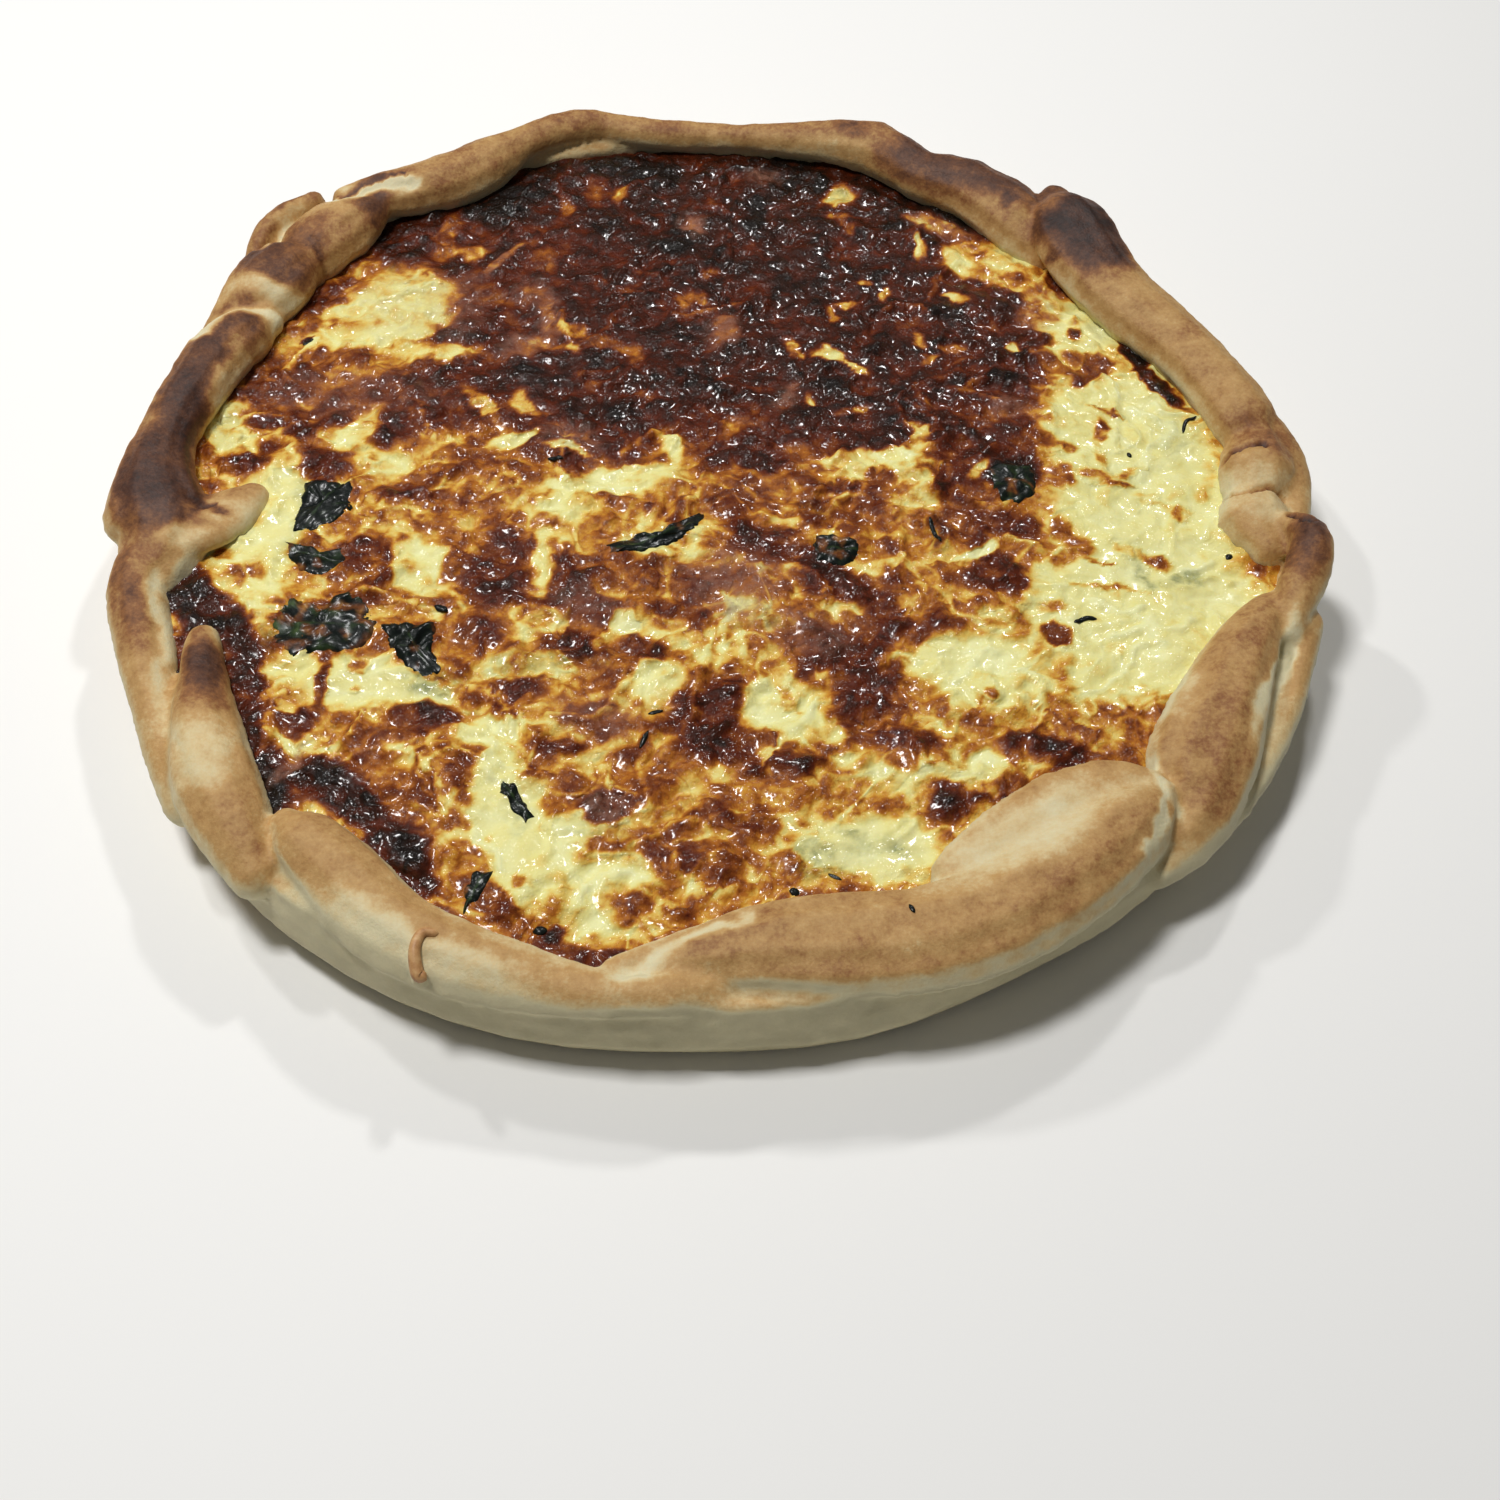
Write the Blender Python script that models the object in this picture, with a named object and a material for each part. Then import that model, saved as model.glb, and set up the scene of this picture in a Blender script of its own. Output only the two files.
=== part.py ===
"""An open quiche with a hand-folded pastry rim, an egg and cheese filling and wilted herb leaves.

Metres, +Z up. The origin is the centre of the flat underside, and -Y is the front.
Tables are in millimetres and are turned to metres where the shapes are made.
"""

import math
import random

import bmesh
import bpy
import numpy as np

MM = 0.001
GAP = 0.3

# Driving sizes of the tray of pastry, in millimetres
FLOOR_THICKNESS = 4.0
WALL_THICKNESS = 5.0
WALL_HEIGHT = 20.0
WALL_BULGE = 1.6
FOOT_ROUNDING = 2.5
FLOOR_FILLET = 1.5

# Radius of the tray's foot every 15 degrees, counterclockwise from +X
FOOT_RADII = (
    128.5, 129.5, 125.5, 125.0, 126.0, 126.5, 126.0, 129.5, 129.5, 129.0, 131.0, 130.5,
    130.5, 131.0, 131.5, 133.0, 133.2, 131.2, 127.8, 127.4, 125.5, 126.5, 127.5, 128.0,
)

# Driving sizes of the filling, in millimetres
FILLING_EDGE_HEIGHT = 18.6
FILLING_DOME = 1.4
FILLING_RADIUS = 120.0
FILLING_WAVE = 0.35
FILLING_WAVE_LENGTHS = (17.0, 21.0)

# Lumps of topping baked into the filling: x, y, reach and rise
LUMPS = (
    (-77, 56, 8, 1.2),
    (8, -32, 9, 1.0),
    (-35, 13, 7, 1.0),
    (-20, -86, 6, 0.8),
    (60, -22, 7, 0.8),
    (-60, -72, 11, 0.8),
)

# Blisters of browned cheese: how many, their reach and their height
BLISTER_COUNT = 70
BLISTER_REACH = (5.0, 9.0)
BLISTER_HEIGHT = (0.4, 1.2)
BLISTER_SEED = 11

# How finely the solids are cut up
TRAY_STEPS = 72
FILLING_STEPS = 72
FILLING_RINGS = 14
ROLL_SIDES = 10
SHRED_SIDES = 6
STEPS_BETWEEN_STATIONS = 2

# Section of a roll of dough: its half height for its half width, and the most it may be
ROLL_FLATNESS = 0.78
ROLL_EXTRA_HEIGHT = 0.8
ROLL_MOST_HALF_HEIGHT = 7.0

# Rings that round off a roll's end: how far past the last station, and their share of its section
ROUND_END = ((0.5, 0.85), (0.85, 0.5))

# Folds of the rim: stations of (x, y, half width, crest height), in millimetres
FOLDS = {
    "front": (
        (-14, -120.5, 2.5, 21.5), (-6, -118.5, 5, 23), (5, -116, 8, 25), (17, -114, 10, 26.5),
        (30, -112.5, 11, 27), (43, -110.5, 11, 27), (56, -105.5, 11, 27.5), (68, -97.5, 11, 28),
        (78, -89, 10, 28), (86, -81, 8, 27.5), (90, -76, 5, 25),
    ),
    "right_front": (
        (90, -86, 6, 19), (97, -77, 9, 23), (100, -67, 11, 26), (104, -56, 10.5, 27.5),
        (109, -45, 9, 27), (113.5, -35, 7, 26.5), (118, -27, 4.5, 25), (120.5, -23, 2.5, 23),
    ),
    "right_outer": (
        (97, -84, 2.5, 14), (107.5, -71.5, 3.5, 17), (116.5, -56, 3.5, 19), (122.5, -41, 3.5, 21),
        (125.5, -28, 4, 23),
    ),
    "right_knob": (
        (120.5, -32, 4, 24.5), (124.5, -22, 4.6, 28), (127.3, -14, 4.6, 30), (127.3, -8, 4.2, 29.5),
        (124, -4, 3.5, 27),
    ),
    "right_cracked": (
        (121, -7, 5, 25), (118.5, 0, 8, 26.5), (119.5, 7, 7, 24.8), (120.5, 14, 8.5, 27.5),
        (121, 23, 7, 26),
    ),
    "right_bulge": (
        (119, 36, 4, 24), (124, 28, 5, 24), (127, 20, 5.5, 23.5), (127.8, 12, 5, 23),
        (127, 4, 4, 22), (125.5, -2, 3, 21),
    ),
    "right": (
        (121, 22, 5, 24), (119.5, 29, 7.5, 27), (113.5, 41.5, 7.5, 28), (106, 54, 7.5, 28),
        (97.5, 64, 9, 28.5), (90, 73.5, 9.5, 29.5), (83.5, 86, 11, 31), (80, 95, 9, 31),
        (78.5, 101, 5, 28),
    ),
    "top_right": (
        (76, 88, 6, 25), (70, 96.5, 9, 28), (57, 107.5, 8, 29), (45, 111.5, 6.5, 28.5),
        (32.5, 120.5, 7, 29.5), (17, 122.5, 4.8, 27.5), (2, 123.3, 3.2, 25.5), (-8, 123.3, 2.8, 24.5),
    ),
    "top": ((6, 123.5, 3, 24.5), (-8, 124, 3.2, 24.5), (-22, 123.5, 3.4, 24.8), (-36, 124.5, 4, 26)),
    "top_left": (
        (-30, 124, 3, 25), (-39, 124.5, 4.2, 26.5), (-48.5, 120.7, 4.5, 27.3), (-58, 114, 4.5, 27.2),
        (-66, 106.5, 6.8, 28), (-77, 98.5, 7, 28.2), (-88.5, 92.5, 6, 28), (-97, 89, 4, 26.5),
    ),
    "upper_left": (
        (-89, 89, 3.5, 26), (-93.5, 84.5, 6.5, 28), (-98.5, 79, 8.5, 28.5), (-104, 72, 8.5, 27.5),
        (-107, 66, 7, 25),
    ),
    "outer_leaf": (
        (-106, 89.5, 1.8, 24), (-111, 83.5, 2.8, 25.5), (-115, 76, 3, 25), (-116.5, 67, 2.6, 22),
    ),
    "left_upper": (
        (-103, 69, 5, 26), (-107.5, 64.5, 8.5, 28.5), (-111, 58, 9.5, 29), (-114.5, 51, 8.5, 27.5),
        (-118.5, 43, 6.5, 24),
    ),
    "left": (
        (-110.5, 45.5, 5, 26.5), (-114, 41, 7, 28.5), (-118.5, 32, 7.5, 29), (-121.5, 20, 6.8, 28.5),
        (-124, 8, 6.6, 28), (-124.5, -4, 8.2, 28), (-122, -14, 11.2, 28), (-119.5, -21, 10.2, 26.5),
        (-120.5, -29, 7.5, 24),
    ),
    "left_edge": (
        (-121.5, -25, 6, 24.5), (-122, -35, 6.3, 24), (-117.5, -49.5, 5.8, 23.5),
        (-112.5, -62, 5.2, 23), (-107.5, -73, 5, 22), (-101, -85, 5, 20),
    ),
    "left_tongue": (
        (-105, -48.5, 2.6, 22.5), (-103.8, -56, 4.5, 24.5), (-102, -65, 6.5, 26), (-99, -75, 8, 27),
        (-94.5, -85, 8.5, 27), (-89, -94, 7.5, 25.5), (-84, -101, 6, 23),
    ),
    "front_left": (
        (-79.5, -93.5, 4, 24), (-76, -96.5, 6.5, 26.5), (-70, -101.5, 8, 27), (-63, -108, 8.5, 26.5),
        (-54, -114.5, 8, 25.5), (-43, -119, 7.5, 24.5), (-31, -122, 6.5, 23.5), (-20, -124.5, 5, 23),
        (-9, -125, 4.5, 23.5), (2, -122.5, 5, 23), (12, -119, 5, 21),
    ),
}

# Thin flaps that lie inwards over the filling, in the same form, and their half height
FLAPS = {
    "front_flap": (
        (52, -97, 7, 23.8), (62, -89.5, 9.5, 24.8), (72, -82, 10, 25.2), (82, -76, 8, 24.8),
        (89, -73.5, 4, 24),
    ),
    "left_flap": (
        (-121, -23, 8, 25), (-113, -17, 8, 24.5), (-107, -12, 6.2, 23), (-103.5, -7.5, 3.6, 21.6),
    ),
}
FLAP_HALF_HEIGHT = 3.4

# A shred of cheese baked on to the front of the rim, in the same form
SHRED = (
    (-46.5, -117.2, 1.0, 24.3), (-49.3, -117.6, 1.0, 24.8), (-50.2, -121, 1.1, 24.6),
    (-49.4, -124.6, 1.3, 22.6),
)

# Herb leaves: name, centre x and y, length and width in millimetres, turn in degrees
LEAVES = (
    ("leaf_left", -86, -9, 15, 11, 70),
    ("leaf_left_curl", -85.5, -26, 13, 6, -38),
    ("leaf_left_wide", -80.5, -45.5, 22, 12, 12),
    ("leaf_left_dark", -62.5, -49, 16, 11, -52),
    ("leaf_middle_long", -15, -13.5, 22, 4.5, 27),
    ("leaf_middle", 25, -15, 11, 8, -8),
    ("leaf_right_charred", 64.5, 8.5, 12, 9, 62),
    ("leaf_front_small", -36.5, -84, 10, 4, -58),
    ("leaf_front_sliver", -42, -104, 9, 4.4, 72),
)
LEAF_THICKNESS = 0.8
LEAF_STEPS = 8
LEAF_TOOTH = 0.14
LEAF_FULLNESS = 0.6

# Waves of a wilted leaf: their height, their turn for each millimetre, and its lift off the filling
LEAF_WAVE = 0.5
LEAF_WAVE_TURNS = (0.9, 0.6)
LEAF_LIFT = 0.6
LEAF_REACH = 2.0

PASTRY_COLOUR = (0.56, 0.33, 0.14)
CUSTARD_COLOUR = (0.72, 0.45, 0.14)
HERB_COLOUR = (0.035, 0.055, 0.03)


def clear_scene():
    for thing in list(bpy.data.objects):
        bpy.data.objects.remove(thing)


def material(name, colour, roughness):
    made = bpy.data.materials.new(name)
    made.use_nodes = True
    shader = made.node_tree.nodes["Principled BSDF"]
    shader.inputs["Base Color"].default_value = (*colour, 1.0)
    shader.inputs["Roughness"].default_value = roughness
    shader.inputs["Metallic"].default_value = 0.0
    return made


def new_object(name, points, faces, finish=None):
    """An object from points in millimetres and faces as lists of indices."""
    mesh = bpy.data.meshes.new(name)
    mesh.from_pydata([tuple(c * MM for c in p) for p in points], [], faces)
    mesh.validate()
    mesh.shade_smooth()
    made = bpy.data.objects.new(name, mesh)
    bpy.context.scene.collection.objects.link(made)
    if finish:
        mesh.materials.append(finish)
    return made


def foot_radius(angle):
    """Radius of the tray's foot at an angle in radians, smooth through the named radii."""
    count = len(FOOT_RADII)
    place = (angle / math.tau % 1.0) * count
    index = int(place)
    share = place - index
    before, start, end, after = (FOOT_RADII[(index + k) % count] for k in (-1, 0, 1, 2))
    return catmull_rom(before, start, end, after, share)


def catmull_rom(before, start, end, after, share):
    """A smooth value between start and end, given their neighbours."""
    return 0.5 * (
        2 * start
        + (end - before) * share
        + (2 * before - 5 * start + 4 * end - after) * share**2
        + (3 * start - before - 3 * end + after) * share**3
    )


def stitched(rings, closed_ends):
    """Faces between rings of equally many points, with a middle point past each end of the list."""
    count = len(rings[0])
    points = [p for ring in rings for p in ring]
    faces = []
    for level in range(len(rings) - 1):
        low, high = level * count, (level + 1) * count
        for k in range(count):
            n = (k + 1) % count
            faces.append((low + k, low + n, high + n, high + k))
    first, last = closed_ends
    points += [first, last]
    first_index, last_index = len(points) - 2, len(points) - 1
    top = (len(rings) - 1) * count
    for k in range(count):
        n = (k + 1) % count
        faces.append((n, k, first_index))
        faces.append((top + k, top + n, last_index))
    return points, faces


def polar_ring(steps, radius_of, height_of):
    ring = []
    for k in range(steps):
        angle = math.tau * k / steps
        radius = radius_of(angle)
        x, y = radius * math.cos(angle), radius * math.sin(angle)
        ring.append((x, y, height_of(x, y)))
    return ring


def make_tray(name, grow):
    """The pastry tray: a floor and a wall. Grown, its wall is thicker on the inside by that much."""
    inside = -WALL_THICKNESS - grow
    profile = (
        (-FOOT_ROUNDING, 0.0),
        (-0.2 * FOOT_ROUNDING, 0.6 * FOOT_ROUNDING),
        (WALL_BULGE, 0.4 * WALL_HEIGHT),
        (0.7 * WALL_BULGE, 0.7 * WALL_HEIGHT),
        (-0.3 * WALL_BULGE, WALL_HEIGHT),
        (inside, WALL_HEIGHT),
        (inside, 0.5 * WALL_HEIGHT),
        (inside - FLOOR_FILLET, FLOOR_THICKNESS),
    )
    rings = [
        polar_ring(TRAY_STEPS, lambda a, o=offset: foot_radius(a) + o, lambda x, y, z=height: z)
        for offset, height in profile
    ]
    return new_object(name, *stitched(rings, ((0, 0, 0), (0, 0, FLOOR_THICKNESS))))


def smooth_stations(stations, steps):
    """Stations read from a smooth curve through the named ones."""
    table = [np.array(s, float) for s in stations]
    padded = [2 * table[0] - table[1], *table, 2 * table[-1] - table[-2]]
    found = []
    for k in range(1, len(padded) - 2):
        for step in range(steps):
            found.append(catmull_rom(*padded[k - 1 : k + 3], step / steps))
    found.append(table[-1])
    return found


def rounded_ends(stations):
    """The stations with two smaller ones and a tip past each end, so that a roll ends round."""
    def ends(edge, inner):
        away = edge[:2] - inner[:2]
        away /= np.linalg.norm(away)
        half_width, crest = edge[2], edge[3]
        made = []
        for reach, share in ROUND_END:
            place = edge[:2] + away * half_width * reach
            drop = half_height(half_width) * (1 - share)
            made.append(np.array([*place, half_width * share, crest - drop]))
        tip = edge[:2] + away * half_width
        return made, (*tip, crest - half_height(half_width))

    start, start_tip = ends(stations[0], stations[1])
    finish, finish_tip = ends(stations[-1], stations[-2])
    return [*reversed(start), *stations, *finish], start_tip, finish_tip


def half_height(half_width):
    return min(ROLL_FLATNESS * half_width + ROLL_EXTRA_HEIGHT, ROLL_MOST_HALF_HEIGHT)


def make_roll(name, stations, grow, flat=None, sides=ROLL_SIDES):
    """A roll of dough along the stations, with an oval section and round ends."""
    smooth = smooth_stations(stations, STEPS_BETWEEN_STATIONS)
    path, start_tip, finish_tip = rounded_ends(smooth)
    rings = []
    for k, (x, y, half_width, crest) in enumerate(path):
        ahead, behind = path[min(k + 1, len(path) - 1)], path[max(k - 1, 0)]
        along = ahead[:2] - behind[:2]
        along /= np.linalg.norm(along)
        across = np.array([-along[1], along[0]])
        tall = min(flat or ROLL_MOST_HALF_HEIGHT, half_height(half_width))
        ring = []
        for side in range(sides):
            angle = math.tau * side / sides
            out = (half_width + grow) * math.cos(angle)
            up = (tall + grow) * math.sin(angle)
            ring.append((x + across[0] * out, y + across[1] * out, crest - tall + up))
        rings.append(ring)
    return new_object(name, *stitched(rings, (start_tip, finish_tip)))


def make_crust(name, grow, finish=None):
    """Tray, folds, flaps and the baked-on shred, joined into one body."""
    tray = make_tray(name, grow)
    joined = bpy.data.collections.new(name + "_joined")
    bpy.context.scene.collection.children.link(joined)
    rolls = [make_roll(name + "_" + fold, stations, grow) for fold, stations in FOLDS.items()]
    rolls += [make_roll(name + "_" + flap, s, grow, flat=FLAP_HALF_HEIGHT) for flap, s in FLAPS.items()]
    rolls.append(make_roll(name + "_shred", SHRED, grow, sides=SHRED_SIDES))
    for roll in rolls:
        bpy.context.scene.collection.objects.unlink(roll)
        joined.objects.link(roll)
    boolean(tray, "UNION", collection=joined)
    for roll in rolls:
        bpy.data.objects.remove(roll)
    bpy.data.collections.remove(joined)
    if finish:
        tray.data.materials.clear()
        tray.data.materials.append(finish)
    return tray


def boolean(target, operation, collection=None, other=None):
    """One Boolean, applied to the target's mesh. The exact solver would leave the crust in two bodies."""
    modifier = target.modifiers.new("Join", "BOOLEAN")
    modifier.operation = operation
    modifier.solver = "MANIFOLD"
    if collection:
        modifier.operand_type = "COLLECTION"
        modifier.collection = collection
    else:
        modifier.object = other
    graph = bpy.context.evaluated_depsgraph_get()
    made = bpy.data.meshes.new_from_object(target.evaluated_get(graph))
    target.modifiers.clear()
    target.data = made
    keep_largest_shell(target)


def keep_largest_shell(thing):
    """Drops the shells of sealed hollows and loose scraps that a Boolean leaves."""
    mesh = bmesh.new()
    mesh.from_mesh(thing.data)
    unseen = set(mesh.verts)
    shells = []
    while unseen:
        shell, front = set(), [next(iter(unseen))]
        while front:
            point = front.pop()
            if point in unseen:
                unseen.discard(point)
                shell.add(point)
                front += [edge.other_vert(point) for edge in point.link_edges]
        shells.append(shell)
    shells.sort(key=len)
    for shell in shells[:-1]:
        bmesh.ops.delete(mesh, geom=list(shell), context="VERTS")
    mesh.to_mesh(thing.data)
    mesh.free()


def blisters():
    """Centres, reaches and heights of the cheese blisters, by a seeded draw over the disc."""
    draw = random.Random(BLISTER_SEED)
    found = []
    for _ in range(BLISTER_COUNT):
        radius = FILLING_RADIUS * math.sqrt(draw.random())
        angle = math.tau * draw.random()
        reach, height = draw.uniform(*BLISTER_REACH), draw.uniform(*BLISTER_HEIGHT)
        found.append((radius * math.cos(angle), radius * math.sin(angle), reach, height))
    return found


BUMPS = (*LUMPS, *blisters())


def filling_height(x, y):
    """Height of the filling's top: a low dome, slow waves, lumps and cheese blisters."""
    share = math.hypot(x, y) / FILLING_RADIUS
    height = FILLING_EDGE_HEIGHT + FILLING_DOME * (1 - share**2)
    long_way, cross_way = FILLING_WAVE_LENGTHS
    height += FILLING_WAVE * math.sin(x / long_way) * math.cos(y / cross_way)
    for bx, by, reach, rise in BUMPS:
        height += rise * math.exp(-((x - bx) ** 2 + (y - by) ** 2) / reach**2)
    return height


def make_filling(cutter, finish):
    """The egg and cheese filling, from the tray's floor to its blistered top, cut round the folds."""
    def edge(angle):
        return foot_radius(angle) - WALL_THICKNESS - GAP

    underside = FLOOR_THICKNESS + GAP
    rings = [
        polar_ring(FILLING_STEPS, lambda a: edge(a) - FLOOR_FILLET, lambda x, y: underside),
        polar_ring(FILLING_STEPS, edge, lambda x, y: 0.5 * WALL_HEIGHT),
    ]
    for level in range(FILLING_RINGS, 0, -1):
        share = level / FILLING_RINGS
        rings.append(polar_ring(FILLING_STEPS, lambda a, s=share: edge(a) * s, filling_height))
    middle = (0, 0, filling_height(0, 0))
    filling = new_object("filling", *stitched(rings, ((0, 0, underside), middle)), finish)
    boolean(filling, "DIFFERENCE", other=cutter)
    return filling


def leaf_outline(length, width, steps):
    """Half outline of a torn leaf as (along, half width), with a few teeth."""
    found = []
    for k in range(1, steps):
        share = k / steps
        belly = math.sin(math.pi * share) ** LEAF_FULLNESS
        tooth = 1 + LEAF_TOOTH * math.cos(math.pi * k)
        found.append((length * (share - 0.5), 0.5 * width * belly * tooth))
    return found


def make_leaf(name, x, y, length, width, turn, finish):
    """A thin wavy leaf that follows the filling's top, a little above it."""
    cos, sin = math.cos(math.radians(turn)), math.sin(math.radians(turn))

    def placed(along, across, lift):
        px, py = x + along * cos - across * sin, y + along * sin + across * cos
        wave = LEAF_WAVE * (1 + math.sin(along * LEAF_WAVE_TURNS[0] + across * LEAF_WAVE_TURNS[1]))
        steps = (-LEAF_REACH, 0, LEAF_REACH)
        rest = max(filling_height(px + dx, py + dy) for dx in steps for dy in steps)
        return (px, py, rest + LEAF_LIFT + wave + lift)

    rows = [(-0.5 * length, 0.0)] + leaf_outline(length, width, LEAF_STEPS) + [(0.5 * length, 0.0)]
    points, faces = [], []
    for lift in (0.0, LEAF_THICKNESS):
        for along, half in rows:
            points += [placed(along, side * half, lift) for side in (-1, 0, 1)]
    level = len(rows) * 3
    for k in range(len(rows) - 1):
        for side in (0, 1):
            a, b = k * 3 + side, k * 3 + side + 1
            c, d = a + 3, b + 3
            for corners in ((a, b, d), (a, d, c)):
                faces.append(tuple(level + c for c in reversed(corners)))
                faces.append(corners)
    rim = [k * 3 for k in range(len(rows))] + [k * 3 + 2 for k in range(len(rows) - 1, -1, -1)]
    for a, b in zip(rim, rim[1:] + rim[:1]):
        faces += [(a, level + b, b), (a, level + a, level + b)]
    return welded(new_object(name, points, faces, finish))


def welded(thing):
    """Closes the leaf where its tips' points meet, and turns its faces outwards."""
    mesh = bmesh.new()
    mesh.from_mesh(thing.data)
    bmesh.ops.remove_doubles(mesh, verts=mesh.verts, dist=0.01 * MM)
    bmesh.ops.dissolve_degenerate(mesh, edges=mesh.edges, dist=0.001 * MM)
    bmesh.ops.recalc_face_normals(mesh, faces=mesh.faces)
    mesh.to_mesh(thing.data)
    mesh.free()
    return thing


def main():
    clear_scene()
    pastry = material("baked_pastry", PASTRY_COLOUR, 0.7)
    custard = material("egg_and_cheese", CUSTARD_COLOUR, 0.35)
    herb = material("wilted_herb", HERB_COLOUR, 0.5)
    make_crust("crust", 0.0, pastry)
    cutter = make_crust("crust_clearance", GAP)
    cutter.hide_render = True
    cutter.display_type = "WIRE"
    make_filling(cutter, custard)
    for leaf in LEAVES:
        make_leaf(*leaf, herb)


main()
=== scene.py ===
"""The looks of an uncut open quiche: hand-folded pastry, browned egg and cheese, wilted herb leaves.

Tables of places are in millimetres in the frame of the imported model, x to the right and y to the back.
"""

import itertools
import math
import random

import bmesh
import bpy
import numpy as np
from bpy.props import FloatProperty, FloatVectorProperty, IntProperty, PointerProperty
from mathutils import Matrix, Vector
from mathutils.bvhtree import BVHTree


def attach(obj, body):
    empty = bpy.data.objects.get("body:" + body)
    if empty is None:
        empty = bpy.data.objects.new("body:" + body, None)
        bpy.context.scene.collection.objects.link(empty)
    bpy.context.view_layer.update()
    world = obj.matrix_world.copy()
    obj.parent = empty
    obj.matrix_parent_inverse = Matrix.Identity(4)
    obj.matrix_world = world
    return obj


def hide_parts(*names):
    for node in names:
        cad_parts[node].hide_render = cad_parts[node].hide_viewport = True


bl_info = {
    "name": "Quiche looks",
    "version": (1, 0, 0),
    "blender": (4, 5, 0),
    "location": "3D View > Sidebar > Quiche",
    "description": "Dresses the solids of an open quiche as baked pastry, browned filling and herb leaves",
    "category": "Object",
}

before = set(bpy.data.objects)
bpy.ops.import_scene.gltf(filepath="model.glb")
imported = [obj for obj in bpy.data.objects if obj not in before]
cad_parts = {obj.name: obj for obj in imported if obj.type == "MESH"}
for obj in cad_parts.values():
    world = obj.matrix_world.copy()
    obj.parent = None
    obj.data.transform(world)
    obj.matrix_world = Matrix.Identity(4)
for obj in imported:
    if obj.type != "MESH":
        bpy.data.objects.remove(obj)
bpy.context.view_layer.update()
MM = 0.001

# Form of the filling's top, in millimetres: the same low dome, waves, lumps and blisters as its solid
FILLING_UNDERSIDE = 4.8
FILLING_EDGE_HEIGHT = 18.6
FILLING_DOME = 1.4
FILLING_RADIUS = 120.0
FILLING_WAVE = 0.35
FILLING_WAVE_LENGTHS = (17.0, 21.0)
LUMPS = (
    (-77, 56, 8, 1.2), (8, -32, 9, 1.0), (-35, 13, 7, 1.0), (-20, -86, 6, 0.8), (60, -22, 7, 0.8),
    (-60, -72, 11, 0.8),
)
BLISTER_COUNT = 70
BLISTER_REACH = (5.0, 9.0)
BLISTER_HEIGHT = (0.4, 1.2)
BLISTER_SEED = 11

# Edge of the filling, measured from the ring of the crust's foot and inside it where this is below 0
FILLING_INTO_WALL = -1.5

# Width of the filling's hidden underside beside its top's
FILLING_UNDERSIDE_SHARE = 0.985

# Where the ring of the crust's foot is read from its solid
FOOT_RING_HEIGHT = 0.6
FOOT_RING_LEAST_RADIUS = 100.0

# Browning of the filling where no patch lies, and every painted value at the middle of its underside
BAKING_BETWEEN = 0.45
PAINT_BELOW = 0.3

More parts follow.
